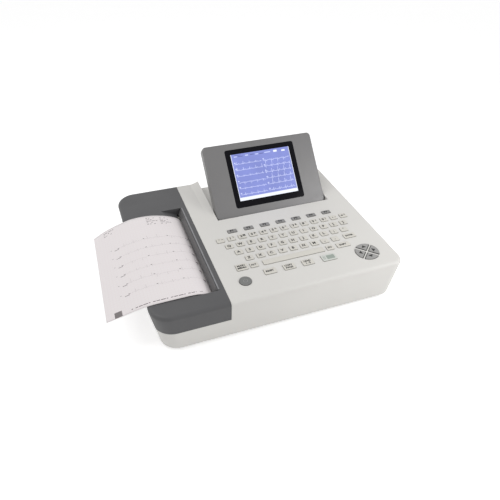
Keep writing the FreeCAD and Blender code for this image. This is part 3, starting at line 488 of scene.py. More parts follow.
class Palette:
    """Every finish of the machine, made once."""

    def __init__(self) -> None:
        """Makes the materials."""
        self.white = Moulding("white_housing", (0.752, 0.738, 0.708), roughness=0.42, shade=0.015).make()
        self.cover_grey = Moulding("printer_grey", (0.094, 0.094, 0.097), roughness=0.46, grain=1200,
                                   depth=0.04 * MM, shade=0.05).make()
        self.display_grey = Paint("display_grey", (0.190, 0.187, 0.188)).make()
        self.key_white = Silicone("pale_silicone", (0.715, 0.692, 0.635), roughness=0.52, shade=0.02).make()
        self.key_grey = Silicone("grey_silicone", (0.298, 0.294, 0.288)).make()
        self.arrow_grey = Silicone("light_grey_silicone", (0.355, 0.350, 0.342)).make()
        self.power_grey = Silicone("dark_silicone", (0.212, 0.215, 0.210)).make()
        # Darker copies of the pale and grey key colours for the caps' sides: painted shade.
        self.pale_key_painted_shade = Silicone("pale_key_painted_shade", (0.36, 0.35, 0.32), roughness=0.6, specular=0.2).make()
        self.grey_key_painted_shade = Silicone("grey_key_painted_shade", (0.12, 0.118, 0.115), roughness=0.6, specular=0.2).make()
        self.key_green = Silicone("green_silicone", (0.665, 0.685, 0.645), roughness=0.52, shade=0.03).make()
        self.ink = Ink("legend_ink", (0.045, 0.044, 0.043), shade=0.1).make()
        self.print_ink = ThermalPrint("trace_ink", (0.20, 0.17, 0.18)).make()
        self.faint_ink = ThermalPrint("faint_ink", (0.59, 0.54, 0.545)).make()
        self.mark_ink = ThermalPrint("mark_ink", (0.26, 0.24, 0.24), shade=0.1).make()
        self.pale_ink = Ink("pale_ink", (0.36, 0.36, 0.355)).make()
        self.green_ink = Ink("green_ink", (0.36, 0.405, 0.365)).make()
        self.black_glass = BlackBackedWindow("black_window").make()
        self.screen = ScreenGlow("screen_blue", (0.262, 0.310, 0.760)).make()
        self.screen_pale = ScreenGlow("screen_pale", (0.86, 0.90, 0.99), dim=0.95, strength=0.95).make()
        self.screen_trace = ScreenGlow("screen_trace", (0.60, 0.66, 0.98), dim=0.95, strength=0.9).make()
        self.screen_dark = ScreenGlow("screen_dark", (0.13, 0.15, 0.42), strength=0.9).make()
        self.paper = GridPaper("grid_paper").make()
        self.blade = Metal("satin_blade", (0.30, 0.30, 0.31), roughness=0.5).make()
        self.roll_paper = Moulding("wound_paper", (0.80, 0.765, 0.765), roughness=0.75, grain=900,
                                   specular=0.2).make()
        self.contact = Metal("gilt_contact", (0.62, 0.46, 0.20)).make()
        self.guide = Moulding("guide_grey", (0.125, 0.123, 0.124), roughness=0.38, depth=0.02 * MM,
                              shade=0.04).make()
        self.steel = Metal("bright_steel", (0.62, 0.62, 0.63), roughness=0.28).make()
        self.dark_steel = Metal("blackened_steel", (0.10, 0.10, 0.105), roughness=0.42).make()
        self.zinc = Metal("zinc_plate", (0.50, 0.51, 0.53), roughness=0.4, lines=(1, 1, 0.1)).make()
        self.aluminium = Metal("anodised_aluminium", (0.66, 0.66, 0.67), roughness=0.38,
                               lines=(1, 0.08, 1)).make()
        self.bronze = Metal("sintered_bronze", (0.52, 0.36, 0.18), roughness=0.42, lines=(1, 1, 1)).make()
        self.rubber = Moulding("black_rubber", (0.025, 0.025, 0.026), roughness=0.72, grain=900,
                               depth=0.05 * MM, shade=0.2, specular=0.3).make()
        self.nylon = Moulding("natural_nylon", (0.66, 0.64, 0.57), roughness=0.4, depth=0.02 * MM,
                              shade=0.04).make()
        self.black = Moulding("black_moulding", (0.022, 0.022, 0.023), roughness=0.42, shade=0.15).make()
        self.board = BoardLaminate("circuit_board", (0.02, 0.12, 0.05), (0.09, 0.22, 0.08)).make()
        self.wrap = Moulding("battery_wrap", (0.03, 0.06, 0.22), roughness=0.25, grain=500, shade=0.08,
                             specular=0.5).make()


@dataclass(frozen=True)
class DeckFrame:
    """The sloping key deck: x to the right, v up its slope from the front edge, w out of it."""

    front_height: float = 74.0 * MM
    back_height: float = 100.3 * MM
    depth: float = 336.0 * MM

    @property
    def slope(self) -> float:
        """Slope of the deck, in radians."""
        return math.atan2(self.back_height - self.front_height, self.depth)

    def v_at(self, y: float) -> float:
        """Distance up the deck of the deck point at world y."""
        return (y + self.depth / 2) / math.cos(self.slope)

    def place(self, x: float, v: float, w: float) -> Vector:
        """A deck point in the world, in metres."""
        c, s = math.cos(self.slope), math.sin(self.slope)
        return Vector((x, -self.depth / 2 + v * c - w * s, self.front_height + v * s + w * c))


@dataclass(frozen=True)
class PanelFrame:
    """The display: x to the right, v up its face from the hinge axis, n out of its face."""

    hinge_y: float = 46.6 * MM
    hinge_z: float = 87.8 * MM
    angle: float = math.radians(51.7)

    def place(self, x: float, v: float, n: float) -> Vector:
        """A display point in the world, in metres."""
        c, s = math.cos(self.angle), math.sin(self.angle)
        return Vector((x, self.hinge_y + v * c - n * s, self.hinge_z + v * s + n * c))


DECK = DeckFrame()
PANEL = PanelFrame()


def into_scene(thing: bpy.types.Object) -> None:
    """Puts an object into the scene."""
    bpy.context.scene.collection.objects.link(thing)


def new_piece(mesh: bpy.types.Mesh, body: str, material: Material,
              smooth: float | None = None) -> bpy.types.Object:
    """Makes a piece of a mesh's own name, dresses it and lets it ride on a body.

    Args:
        mesh: Its mesh, in the world at rest.
        body: Body that carries it.
        material: Its finish.
        smooth: Angle in degrees under which edges are shaded smooth, or None for flat shading.

    Returns:
        The new object.
    """
    mesh.materials.append(material)
    piece = bpy.data.objects.new(mesh.name, mesh)
    into_scene(piece)
    if smooth is not None:
        mesh.shade_smooth()
        mesh.set_sharp_from_angle(angle=math.radians(smooth))
    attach(piece, body)
    LOG.info("piece %s rides on %s", piece.name, body)
    return piece


class Draft:
    """A mesh in the making, which becomes one piece."""

    def __init__(self, name: str) -> None:
        """Starts with no points and no faces."""
        self.name = name
        self.shape = bmesh.new()

    def row(self, points: Iterable[Vector]) -> list[Corner]:
        """Adds a row of points."""
        return [self.shape.verts.new(point) for point in points]

    def face(self, corners: Sequence[Corner], finish: int = 0) -> None:
        """Adds a face on points that are there, in the piece's first finish or a later one."""
        self.shape.faces.new(corners).material_index = finish

    def plate(self, points: Iterable[Vector]) -> None:
        """Adds a flat face with points of its own."""
        self.face(self.row(points))

    def band(self, low: Sequence[Corner], high: Sequence[Corner], closed: bool = True,
             finish: int = 0) -> None:
        """Adds the faces between two rows of as many points.

        Args:
            low: One row.
            high: The next row.
            closed: Whether the rows are rings.
            finish: Number of the faces' finish.
        """
        count = len(low)
        for i in range(count if closed else count - 1):
            k = (i + 1) % count
            self.face((low[i], low[k], high[k], high[i]), finish)

    def ribbon(self, points: Sequence[Vector], normals: Sequence[Vector], width: float) -> None:
        """Adds a flat line that follows points on a surface.

        Args:
            points: Points of the line.
            normals: The surface's normals there.
            width: Width of the line, in metres.
        """
        rows = []
        for i, (point, normal) in enumerate(zip(points, normals)):
            before, after = points[max(i - 1, 0)], points[min(i + 1, len(points) - 1)]
            side = normal.cross((after - before).normalized()) * (width / 2)
            rows.append(self.row((point - side, point + side)))
        for (a, b), (c, d) in zip(rows, rows[1:]):
            self.face((a, c, d, b))

    def piece(self, body: str, material: Material, slot: Slot,
              smooth: float | None = None) -> bpy.types.Object:
        """Turns the faces outwards and makes the piece.

        Args:
            body: Body that carries it.
            material: Its first finish.
            slot: Record slot that the finish belongs to; not used.
            smooth: Angle in degrees under which edges are shaded smooth, or None for flat shading.

        Returns:
            The new object.
        """
        mesh = bpy.data.meshes.new(self.name)
        bmesh.ops.recalc_face_normals(self.shape, faces=self.shape.faces)
        self.shape.to_mesh(mesh)
        self.shape.free()
        return new_piece(mesh, body, material, smooth)


def dress(material: Material, *nodes: str) -> None:
    """Gives CAD nodes a finish.

    Args:
        material: The finish.
        *nodes: Names of the nodes.
    """
    for name in nodes:
        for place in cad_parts[name].material_slots:
            place.material = material
        LOG.info("node %s gets %s", name, material.name)


class KeyShape:
    """Outline of a key about its own centre."""

    def outline(self, inset: float) -> list[Point2]:
        """Points of the outline moved in by inset, always the same number of them."""
        raise NotImplementedError


@dataclass(frozen=True)
class RectangularKey(KeyShape):
    """Key with a rounded rectangular outline."""

    width: float
    height: float
    corner: float = 1.6 * MM
    sharpest: float = 0.25 * MM
    steps: int = 6

    def outline(self, inset: float) -> list[Point2]:
        """Points of the rounded rectangle.

        Args:
            inset: Distance that it is moved in.

        Returns:
            The points.
        """
        radius = max(self.corner - inset, self.sharpest)
        half_x = self.width / 2 - inset - radius
        half_y = self.height / 2 - inset - radius
        points = []
        for quarter, (sx, sy) in enumerate(((1, 1), (-1, 1), (-1, -1), (1, -1))):
            for i in range(self.steps + 1):
                x, y = polar(radius, math.pi / 2 * (quarter + i / self.steps))
                points.append((sx * half_x + x, sy * half_y + y))
        return points


@dataclass(frozen=True)
class RoundKey(KeyShape):
    """Key with a round outline."""

    radius: float
    steps: int = 64

    def outline(self, inset: float) -> list[Point2]:
        """Points of the circle, moved in by inset."""
        return [polar(self.radius - inset, math.tau * i / self.steps) for i in range(self.steps)]


@dataclass(frozen=True)
class QuarterKey(KeyShape):
    """One quarter of a round pad, pointing along turn degrees, about the pad's centre."""

    turn: float
    radius: float = 20.0 * MM
    gap: float = 4.0 * MM
    arc_steps: int = 20
    side_steps: int = 8

    def outline(self, inset: float) -> list[Point2]:
        """Points of the quarter.

        Args:
            inset: Distance that it is moved in.

        Returns:
            The points.
        """
        gap = self.gap / 2 + inset
        radius = self.radius - inset
        half = math.asin(gap / radius)
        middle = math.radians(self.turn)
        start, end = middle - math.pi / 4 + half, middle + math.pi / 4 - half
        tip, first, last = polar(gap * math.sqrt(2), middle), polar(radius, start), polar(radius, end)
        points = [between(tip, first, i / self.side_steps) for i in range(self.side_steps)]
        points += [polar(radius, start + (end - start) * i / self.arc_steps) for i in range(self.arc_steps)]
        points += [between(last, tip, i / self.side_steps) for i in range(self.side_steps)]
        return points


@dataclass(frozen=True)
class Cap:
    """One key cap at its place on the deck with the words printed on it.

    The rolled edge is given as inset and drop below the rise, the domed top as inset and share of the crown,
    with insets and drops in millimetres. The peak lies by a share of the crown over the last ring, and the
    lowest rings take a darker copy of the key's colour, which paints shade on the cap's sides.
    """

    shape: KeyShape
    x: float
    y: float
    legend: str = ""
    letter: float = 7.2 * MM
    second: str = ""
    rise: float = 1.1 * MM
    crown: float = 0.15 * MM
    foot: float = -3.0 * MM
    print_lift: float = 0.06 * MM
    edge: tuple[Point2, ...] = ((0.05, 0.55), (0.12, 0.3), (0.25, 0.13), (0.48, 0.03))
    dome: tuple[Point2, ...] = ((0.9, 0.3), (2.0, 0.75))
    peak: float = 0.25
    # Number of lowest rings that take the painted shade.
    painted_shade_rings: int = 3

    def printed(self, x: float, y: float) -> Vector:
        """A point of the print on the cap, in the world, from its place about the cap's middle."""
        return DECK.place(self.x + x, DECK.v_at(self.y) + y, self.rise + self.crown + self.print_lift)

    def add_to(self, draft: Draft) -> None:
        """Adds the cap's crowned form to a mesh: rolled edges and a softly domed top.

        Args:
            draft: The mesh to add to.
        """
        v = DECK.v_at(self.y)
        levels = [(self.edge[0][0], self.foot)]
        levels += [(inset, self.rise - drop * MM) for inset, drop in self.edge]
        levels += [(inset, self.rise + self.crown * share) for inset, share in self.dome]
        rings = []
        for inset, height in levels:
            outline = self.shape.outline(inset * MM)
            rings.append(draft.row(DECK.place(self.x + x, v + y, height) for x, y in outline))
        # The lowest rings, the cap's sides, take finish 1, a darker copy of the key colour: painted shade.
        for i, (low, high) in enumerate(zip(rings, rings[1:])):
            draft.band(low, high, finish=1 if i < self.painted_shade_rings else 0)
        last = rings[-1]
        middle = sum((point.co for point in last), Vector()) / len(last)
        peak = middle + DECK.place(0, 0, self.crown * self.peak) - DECK.place(0, 0, 0)
        top = draft.row([peak])[0]
        for i, point in enumerate(last):
            draft.face((point, last[(i + 1) % len(last)], top))


def letters(text: str, size: float, weight: float = 0.045) -> bpy.types.Mesh:
    """Flat letters, centred on the origin.

    Args:
        text: The words, with line breaks.
        size: Letter size, in metres.
        weight: How much bolder the strokes get, as a share of the size.

    Returns:
        A mesh in the XY plane.
    """
    curve = bpy.data.curves.new("letters", "FONT")
    curve.body = text
    curve.size = size
    curve.align_x = "CENTER"
    curve.align_y = "CENTER"
    curve.resolution_u = 3
    curve.offset = size * weight
    carrier = bpy.data.objects.new("letters", curve)
    into_scene(carrier)
    bpy.context.view_layer.update()
    mesh = bpy.data.meshes.new_from_object(carrier)
    bpy.data.objects.remove(carrier)
    bpy.data.curves.remove(curve)
    return mesh


def heartbeat(phase: float, lead: int) -> float:
    """Height of a schematic heart trace.

    Args:
        phase: Place in the beat, from 0 to 1.
        lead: Number of the lead, which changes the waves' sizes.

    Returns:
        Height, about -0.4 to 1.
    """
    tall = (0.75, 1.0, 0.55, -0.7, 0.35, 0.8)[lead % 6]
    dip = (0.12, 0.1, 0.2, -0.1, 0.35, 0.3)[lead % 6]
    waves = ((0.12, 0.18, 0.03), (tall, 0.36, 0.012), (-dip, 0.395, 0.012),
             (math.copysign(0.22, tall), 0.62, 0.055))
    return sum(height * math.exp(-((phase - place) / width) ** 2) for height, place, width in waves)


@dataclass
class KeyDeck:
    """The key caps, each riding on its own body, with their printed legends."""

    palette: Palette
    pitch: float = 19.3 * MM
    first_row_y: float = -24.5 * MM
    row_step: float = 18.6 * MM
    key: Point2 = (13.4 * MM, 11.4 * MM)
    soft_key: Point2 = (17.0 * MM, 9.0 * MM)
    soft_letter: float = 7.0 * MM
    soft_x: float = -31.8 * MM
    soft_pitch: float = 30.0 * MM
    soft_y: float = -5.2 * MM
    soft_count: int = 7
    arrow_centre: Point2 = (160.5 * MM, -127.5 * MM)
    arrow: tuple[Point2, ...] = ((15.4, 0.0), (9.8, 4.4), (9.8, -4.4))
    power_centre: Point2 = (-53.1 * MM, -129.6 * MM)
    power_radius: float = 10.0 * MM
    power_ring: Point2 = (3.0 * MM, 3.7 * MM)
    power_arc: Point2 = (math.radians(125), math.radians(415))
    power_steps: int = 28
    power_stroke: Box = (-0.35 * MM, 1.0 * MM, 0.35 * MM, 4.4 * MM)
    print_field: Point3 = (14.0 * MM, 9.0 * MM, 0.8 * MM)
    print_field_x: float = 3.0 * MM
    print_bars: tuple[float, ...] = (-9.5 * MM, -7.3 * MM)
    print_bar: Point2 = (0.8 * MM, 8.0 * MM)
    legend_x: float = -0.6 * MM
    paired_x: float = -1.8 * MM
    second_place: Point2 = (3.6 * MM, 1.8 * MM)
    second_size: float = 0.7

    def rows(self) -> dict[str, list[Cap]]:
        """The four character rows.

        Returns:
            Caps of each row's node.
        """
        shape = RectangularKey(*self.key)
        plan = (("digit_keys", -59.2, "`1234567890-=", "~!@#$%^&*()_+"),
                ("upper_letter_keys", -49.6, "QWERTYUIOP[]", ""),
                ("home_letter_keys", -39.4, "ASDFGHJKL;'", ""),
                ("lower_letter_keys", -28.2, "ZXCVBNM,.", ""))
        rows = {}
        for row, (node, first, marks, seconds) in enumerate(plan):
            y = self.first_row_y - row * self.row_step
            rows[node] = [Cap(shape, first * MM + i * self.pitch, y, mark, second=seconds[i:i + 1])
                          for i, mark in enumerate(marks)]
        return rows

    def singles(self) -> dict[str, Cap]:
        """The wide keys and function keys, from their place, size, words and letter size in millimetres.

        Returns:
            The cap of each node.
        """
        plan = (("enter_key", (154.0, -80.2), (22.0, 11.4), "ENTER", 4.8),
                ("menu_key", (-47.7, -98.0), (19.0, 15.0), "MAIN\nMENU", 5.2),
                ("mode_key", (-27.6, -99.0), (13.4, 11.4), "ALT", 5.0),
                ("space_bar", (41.5, -99.0), (108.0, 11.4), "", 4.0),
                ("symbol_key", (107.0, -99.0), (13.4, 11.4), "FN", 5.4),
                ("case_key", (131.5, -99.0), (24.0, 11.4), "SHIFT", 5.2),
                ("reset_key", (-8.9, -120.5), (20.0, 13.0), "RESET", 5.0),
                ("copy_key", (23.7, -120.5), (20.0, 13.0), "COPY\nPAGE", 5.0),
                ("lead_key", (56.2, -120.5), (20.0, 13.0), "LEAD\nI - II", 5.0),
                ("print_key", (93.4, -120.5), (25.0, 15.0), "", 4.4))
        return {node: Cap(RectangularKey(w * MM, h * MM), x * MM, y * MM, words, size * MM)
                for node, (x, y), (w, h), words, size in plan}

    def build(self) -> None:
        """Builds every cap, legend and mark."""
        p = self.palette
        for node, caps in self.rows().items():
            self.make(node, caps, p.key_white, Slot.CHARACTER_KEY)
        singles = self.singles()
        for node, cap in singles.items():
            if node == "print_key":
                self.make(node, [cap], p.key_green, Slot.GREEN_KEY)
            else:
                self.make(node, [cap], p.key_white, Slot.CHARACTER_KEY)
        for i in range(self.soft_count):
            x = self.soft_x + i * self.soft_pitch
            cap = Cap(RectangularKey(*self.soft_key), x, self.soft_y, f"F{i + 1}", self.soft_letter)
            self.make(f"soft_key_{i + 1}", [cap], p.key_grey, Slot.GREY_KEY)
        power = Cap(RoundKey(self.power_radius), *self.power_centre)
        self.make("power_key", [power], p.power_grey, Slot.GREY_KEY)
        for quarter, side in enumerate(("right", "up", "left", "down")):
            node = f"{side}_arrow_key"
            cap = Cap(QuarterKey(90.0 * quarter), *self.arrow_centre)
            self.make(node, [cap], p.arrow_grey, Slot.GREY_KEY)
            self.mark(node, cap, [self.triangle(math.pi / 2 * quarter)], p.ink)
        self.mark("power_key", power, self.power_outlines(), p.pale_ink)
        self.mark("print_key", singles["print_key"], self.print_outlines(), p.green_ink)

    def make(self, node: str, caps: list[Cap], material: Material, slot: Slot) -> None:
        """Builds the caps of one node and their legends.

        Args:
            node: The CAD node that they stand for, which is also their body.
            caps: The caps.
            material: Their finish.
            slot: Record slot of the finish.
        """
        draft = Draft(f"{node}_cap")
        for cap in caps:
            cap.add_to(draft)
        piece = draft.piece(node, material, slot, smooth=60.0)
        # The cap's sides take a darker copy of the key colour, painted shade.
        side_shade_finish = self.palette.grey_key_painted_shade if slot is Slot.GREY_KEY else self.palette.pale_key_painted_shade
        piece.data.materials.append(side_shade_finish)
        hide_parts(node)
        marked = [cap for cap in caps if cap.legend]
        if marked:
            self.legends(node, marked)

    def legends(self, node: str, caps: list[Cap]) -> None:
        """Prints the legends of one node's caps, as one piece.

        Args:
            node: The node and body.
            caps: The caps that carry words.
        """
        draft = Draft(f"{node}_legend")
        for cap in caps:
            x = self.paired_x if cap.second else self.legend_x
            self.print_on(draft, cap, cap.legend, cap.letter, (x, 0.0))
            if cap.second:
                self.print_on(draft, cap, cap.second, cap.letter * self.second_size, self.second_place)
        draft.piece(node, self.palette.ink, Slot.INK)

    @staticmethod
    def print_on(draft: Draft, cap: Cap, words: str, size: float, shift: Point2) -> None:
        """Lays words on a cap.

        Args:
            draft: The mesh to add to.
            cap: The cap.
            words: The words.
            size: Letter size, in metres.
            shift: Place of their middle from the cap's middle.
        """
        flat = letters(words, size)
        first = len(draft.shape.verts)
        draft.shape.from_mesh(flat)
        bpy.data.meshes.remove(flat)
        draft.shape.verts.ensure_lookup_table()
        for vert in draft.shape.verts[first:]:
            vert.co = cap.printed(shift[0] + vert.co.x, shift[1] + vert.co.y)

    @staticmethod
    def mark(node: str, cap: Cap, outlines: list[list[Point2]], material: Material) -> None:
        """A printed mark of flat polygons on a key.

        Args:
            node: The key's node and body.
            cap: The key's cap.
            outlines: Polygons about the cap's middle.
            material: Ink of the mark.
        """
        draft = Draft(f"{node}_mark")
        for outline in outlines:
            draft.plate(cap.printed(x, y) for x, y in outline)
        draft.piece(node, material, Slot.INK)

    def triangle(self, turn: float) -> list[Point2]:
        """The triangle on an arrow key that points along turn."""
        c, s = math.cos(turn), math.sin(turn)
        return [((x * c - y * s) * MM, (x * s + y * c) * MM) for x, y in self.arrow]

    def power_outlines(self) -> list[list[Point2]]:
        """The broken ring and stroke on the power key.

        Returns:
            Their polygons.
        """
        inner, outer = self.power_ring
        start, end = self.power_arc
        turns = [start + (end - start) * i / self.power_steps for i in range(self.power_steps + 1)]
        ring = [[polar(inner, a), polar(outer, a), polar(outer, b), polar(inner, b)]
                for a, b in zip(turns, turns[1:])]
        return [*ring, rectangle(*self.power_stroke)]

    def print_outlines(self) -> list[list[Point2]]:
        """The green field with its two upright bars on the print key.

        Returns:
            Their polygons.
        """
        green = [(x + self.print_field_x, y) for x, y in RectangularKey(*self.print_field).outline(0.0)]
        width, height = self.print_bar
        return [green, *(rectangle(x, -height / 2, x + width, height / 2) for x in self.print_bars)]


@dataclass
class Screen:
    """The lit picture in the display's black-bordered window: bars, frame, icons and heart traces.

    Boxes are left, bottom, right and top, and other places in the picture too are shares of its size.
    """

    palette: Palette
    width: float = 115.2 * MM
    height: float = 86.4 * MM
    centre: Point2 = (63.4 * MM, 63.2 * MM)
    face: float = 2.5 * MM
    lift: float = 0.08 * MM
    border: tuple[Box, ...] = ((0, 0.0, 1, 0.07), (0, 0.07, 0.008, 1), (0.992, 0.07, 1, 1))
    icons: tuple[Box, ...] = ((0.725, 0.925, 0.785, 0.968), (0.865, 0.918, 0.925, 0.952))
    values: tuple[Box, ...] = ((0.05, 0.935, 0.10, 0.955), (0.24, 0.935, 0.29, 0.96),
                               (0.41, 0.93, 0.46, 0.95), (0.57, 0.935, 0.67, 0.955))
    header: tuple[Box, ...] = ((0.06, 0.965, 0.17, 0.978), (0.12, 0.935, 0.2, 0.95),
                               (0.32, 0.94, 0.39, 0.958), (0.48, 0.93, 0.55, 0.948))
    rows: int = 6
    row_step: float = 0.131
    label: Point2 = (0.025, 0.025)
    label_columns: Point2 = (0.03, 0.515)
    label_top: float = 0.8
    trace_width: float = 0.75 * MM
    trace_left: float = 0.035
    trace_length: float = 0.455
    trace_top: float = 0.78
    trace_heights: Point2 = (0.075, 0.125)
    trace_steps: int = 240
    column_step: float = 0.48
    beats: float = 4.3
    row_delay: float = 0.13

    def at(self, a: float, b: float, layer: int) -> Vector:
        """A point of the picture in the world.

        Args:
            a: Share of the picture's width from its left.
            b: Share of its height from its bottom.
            layer: Number of films below it.

        Returns:
            The world point.
        """
        x = self.centre[0] + (a - 0.5) * self.width
        v = self.centre[1] + (b - 0.5) * self.height
        return PANEL.place(x, v, self.face + self.lift * (layer + 1))

    def panes(self, name: str, boxes: Iterable[Box], material: Material, layer: int = 1) -> None:
        """Flat lit rectangles, as one piece.

        Args:
            name: Name of the piece.
            boxes: The rectangles.
            material: Their glow.
            layer: Film that they lie on.
        """
        draft = Draft(name)
        for box in boxes:
            draft.plate(self.at(a, b, layer) for a, b in rectangle(*box))
        draft.piece("display", material, Slot.SCREEN)

    def build(self) -> None:
        """Builds the picture's films."""
        p = self.palette
        self.panes("screen_field", [(0, 0, 1, 1)], p.screen, layer=0)
        self.panes("screen_frame", self.border, p.screen_pale)
        self.panes("screen_icons", self.icons, p.screen_pale)
        labels = list(self.values)
        wide, high = self.label
        for left in self.label_columns:
            for row in range(self.rows):
                bottom = self.label_top - row * self.row_step
                labels.append((left, bottom, left + wide, bottom + high))
        self.panes("screen_labels", labels, p.screen_trace)
        self.panes("screen_header", self.header, p.screen_dark)
        self.traces()

    def traces(self) -> None:
        """The twelve heart traces, six rows in two columns, as one piece."""
        normal = PANEL.place(0, 0, 1) - PANEL.place(0, 0, 0)
        draft = Draft("screen_traces")
        for column, tall in enumerate(self.trace_heights):
            for row in range(self.rows):
                base = self.trace_top - row * self.row_step
                points = []
                for i in range(self.trace_steps + 1):
                    share = i / self.trace_steps
                    height = heartbeat((share * self.beats + self.row_delay * row) % 1.0, row + column * 3)
                    a = self.trace_left + column * self.column_step + share * self.trace_length
                    points.append(self.at(a, base + tall * height, 1))
                draft.ribbon(points, [normal] * len(points), self.trace_width)
        draft.piece("display", self.palette.screen_trace, Slot.SCREEN)


def bowed(a: float, b: float, c: float, d: float, t: float) -> float:
    """The value at share t from b to c on a smooth line through four values."""
    return 0.5 * (2 * b + (c - a) * t + (2 * a - 5 * b + 4 * c - d) * t * t
                  + (3 * b - a - 3 * c + d) * t ** 3)


@dataclass
class PaperSheet:
    """The printed strip: its sheet from the nip out over the cover, and what is printed on it.

    Both edges are given as x and height over the deck. Prints are given by their place from the free edge,
    their place from the front edge, their reach and their width, and the settings by their start, end, place
    from the front edge and width. All of these are in millimetres.
    """

    palette: Palette
    width: float = 210.0 * MM
    front_y: float = -134.0 * MM
    thickness: float = 0.16 * MM
    print_lift: float = 0.07 * MM
    columns: int = 36
    rows: int = 120
    nip: tuple[Point2, ...] = ((-100.75, -24.5), (-101.0, -20.5), (-103.0, -16.6), (-106.3, -12.6))
    front_edge: tuple[Point2, ...] = ((-111.4, -7.0), (-117.0, -3.0), (-124.0, -0.4), (-132.0, 0.9),
                                      (-144.0, 1.4), (-170.0, 1.3), (-196.0, 0.8), (-212.0, -1.6),
                                      (-230.0, -5.6), (-246.0, -9.4), (-262.0, -13.2))
    back_edge: tuple[Point2, ...] = ((-110.4, -9.2), (-116.0, -6.0), (-124.0, -2.3), (-136.0, 1.8),
                                     (-152.0, 5.4), (-168.0, 7.0), (-184.0, 6.5), (-199.5, 3.9),
                                     (-232.0, -7.1), (-257.0, -20.6))
    print_rows: int = 6
    row_pitch: float = 22.0
    first_trace: float = 38.0
    trace_columns: tuple[float, ...] = (44.0, 84.0, 124.0)
    trace_length: float = 36.0
    trace_height: float = 9.0
    trace_width: float = 0.24
    trace_steps: int = 139
    beats: float = 2.2
    row_delay: float = 0.2
    first_label: float = 36.0
    row_strokes: tuple[Box, ...] = ((33.0, 0.0, 7.4, 0.9), (38.5, 2.2, 3.4, 0.9), (26.5, 4.4, 1.6, 0.9),
                                    (82.0, 4.0, 2.6, 1.1), (122.0, 4.0, 2.6, 1.1), (155.5, 1.0, 5.0, 2.4),
                                    (157.0, -2.4, 3.0, 1.4))
    blocks: tuple[tuple[float, int], ...] = ((97.0, 5), (121.0, 5), (20.0, 3))
    block_top: float = 203.0
    block_pitch: float = 4.2
    block_width: float = 19.0
    small_print: float = 1.1
    small_gap: float = 1.4
    settings: Box = (38.0, 146.0, 6.0, 1.4)
    setting_gaps: Point2 = (1.2, 4.0)
    end_mark: Box = (13.0, 6.5, 11.0, 11.0)
    front: list[Point2] = field(init=False)
    back: list[Point2] = field(init=False)
    length: float = field(init=False)

    def __post_init__(self) -> None:
        """Lays out both edges and takes the sheet's length from them."""
        self.front, front_length = self.even(self.nip + self.front_edge)
        self.back, back_length = self.even(self.nip + self.back_edge)
        self.length = (front_length + back_length) / 2 * MM
        LOG.info("paper edges %.1f and %.1f mm", front_length, back_length)

    @staticmethod
    def smooth(points: Sequence[Point2], steps: int = 16) -> list[Point2]:
        """A smooth line through points, each span bowed by its neighbours.

        Args:
            points: Points to pass through.
            steps: Points in each span.

        Returns:
            The line's points.
        """
        line = []
        for i in range(len(points) - 1):
            near = (points[max(i - 1, 0)], points[i], points[i + 1], points[min(i + 2, len(points) - 1)])
            for k in range(steps):
                line.append(tuple(bowed(*values, k / steps) for values in zip(*near)))
        line.append(points[-1])
        return line

    def even(self, points: Sequence[Point2]) -> tuple[list[Point2], float]:
        """The edge at even steps along its length.

        Args:
            points: The edge's guide points.

        Returns:
            Points at even steps, and the length in millimetres.
        """
        line = self.smooth(points)
        lengths = [0.0]
        for a, b in zip(line, line[1:]):
            lengths.append(lengths[-1] + math.dist(a, b))
        result, k = [], 0
        for i in range(self.rows + 1):
            goal = lengths[-1] * i / self.rows
            while k < len(line) - 2 and lengths[k + 1] < goal:
                k += 1
            share = (goal - lengths[k]) / max(lengths[k + 1] - lengths[k], 1e-9)
            result.append(between(line[k], line[k + 1], share))
        return result, lengths[-1]

    def point(self, along: float, across: float, lift: float = 0.0) -> Vector:
        """A point of the sheet in the world.

        Args:
            along: Share of the length, from the nip to the free edge.
            across: Share of the width, from the front edge.
            lift: Distance off the upper face.

        Returns:
            The world point.
        """
        row = min(along, 1.0) * self.rows
        i = min(int(row), self.rows - 1)
        ends = [between(edge[i], edge[i + 1], row - i) for edge in (self.front, self.back)]
        x, w = between(*ends, across)
        point = DECK.place(x * MM, DECK.v_at(self.front_y) + across * self.width, w * MM)
        return point + self.normal(along, across) * lift if lift else point

    def normal(self, along: float, across: float, step: float = 0.004) -> Vector:
        """The upper face's direction at a point of the sheet.

        Args:
            along: Share of the length, from the nip to the free edge.
            across: Share of the width, from the front edge.
            step: Share to either side over which it is measured.

        Returns:
            The direction, of length 1.
        """
        ahead = self.point(min(along + step, 1.0), across) - self.point(max(along - step, 0.0), across)
        side = self.point(along, min(across + step, 1.0)) - self.point(along, max(across - step, 0.0))
        up = ahead.cross(-side).normalized()
        return -up if up.z < 0 else up

    def build(self) -> None:
        """Builds the sheet and its print."""
        p = self.palette
        sheet = new_piece(self.sheet_mesh(), "printer_cover", p.paper, smooth=60.0)
        thick = sheet.modifiers.new("thickness", "SOLIDIFY")
        thick.thickness = self.thickness
        thick.offset = -1.0
        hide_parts("paper_strip")
        for draft, ink in ((self.trace_print(), p.faint_ink), (self.label_print(), p.print_ink),
                           (self.settings_print(), p.print_ink), (self.end_print(), p.mark_ink)):
            draft.piece("printer_cover", ink, Slot.INK)

    def sheet_mesh(self) -> bpy.types.Mesh:
        """The sheet's grid with its own map in metres.

        Returns:
            The mesh.
        """
        verts, faces, uvs = [], [], []
        for i in range(self.rows + 1):
            for j in range(self.columns + 1):
                verts.append(self.point(i / self.rows, j / self.columns))
                uvs.append((i / self.rows * self.length, j / self.columns * self.width))
        wide = self.columns + 1
        for i in range(self.rows):
            for j in range(self.columns):
                k = i * wide + j
                faces.append((k, k + wide, k + wide + 1, k + 1))
        mesh = bpy.data.meshes.new("paper_sheet")
        mesh.from_pydata(verts, [], faces)
        layer = mesh.uv_layers.new(name="sheet")
        for loop in mesh.loops:
            layer.data[loop.index].uv = uvs[loop.vertex_index]
        if mesh.polygons[len(faces) // 2].normal.z < 0:
            mesh.flip_normals()
        return mesh

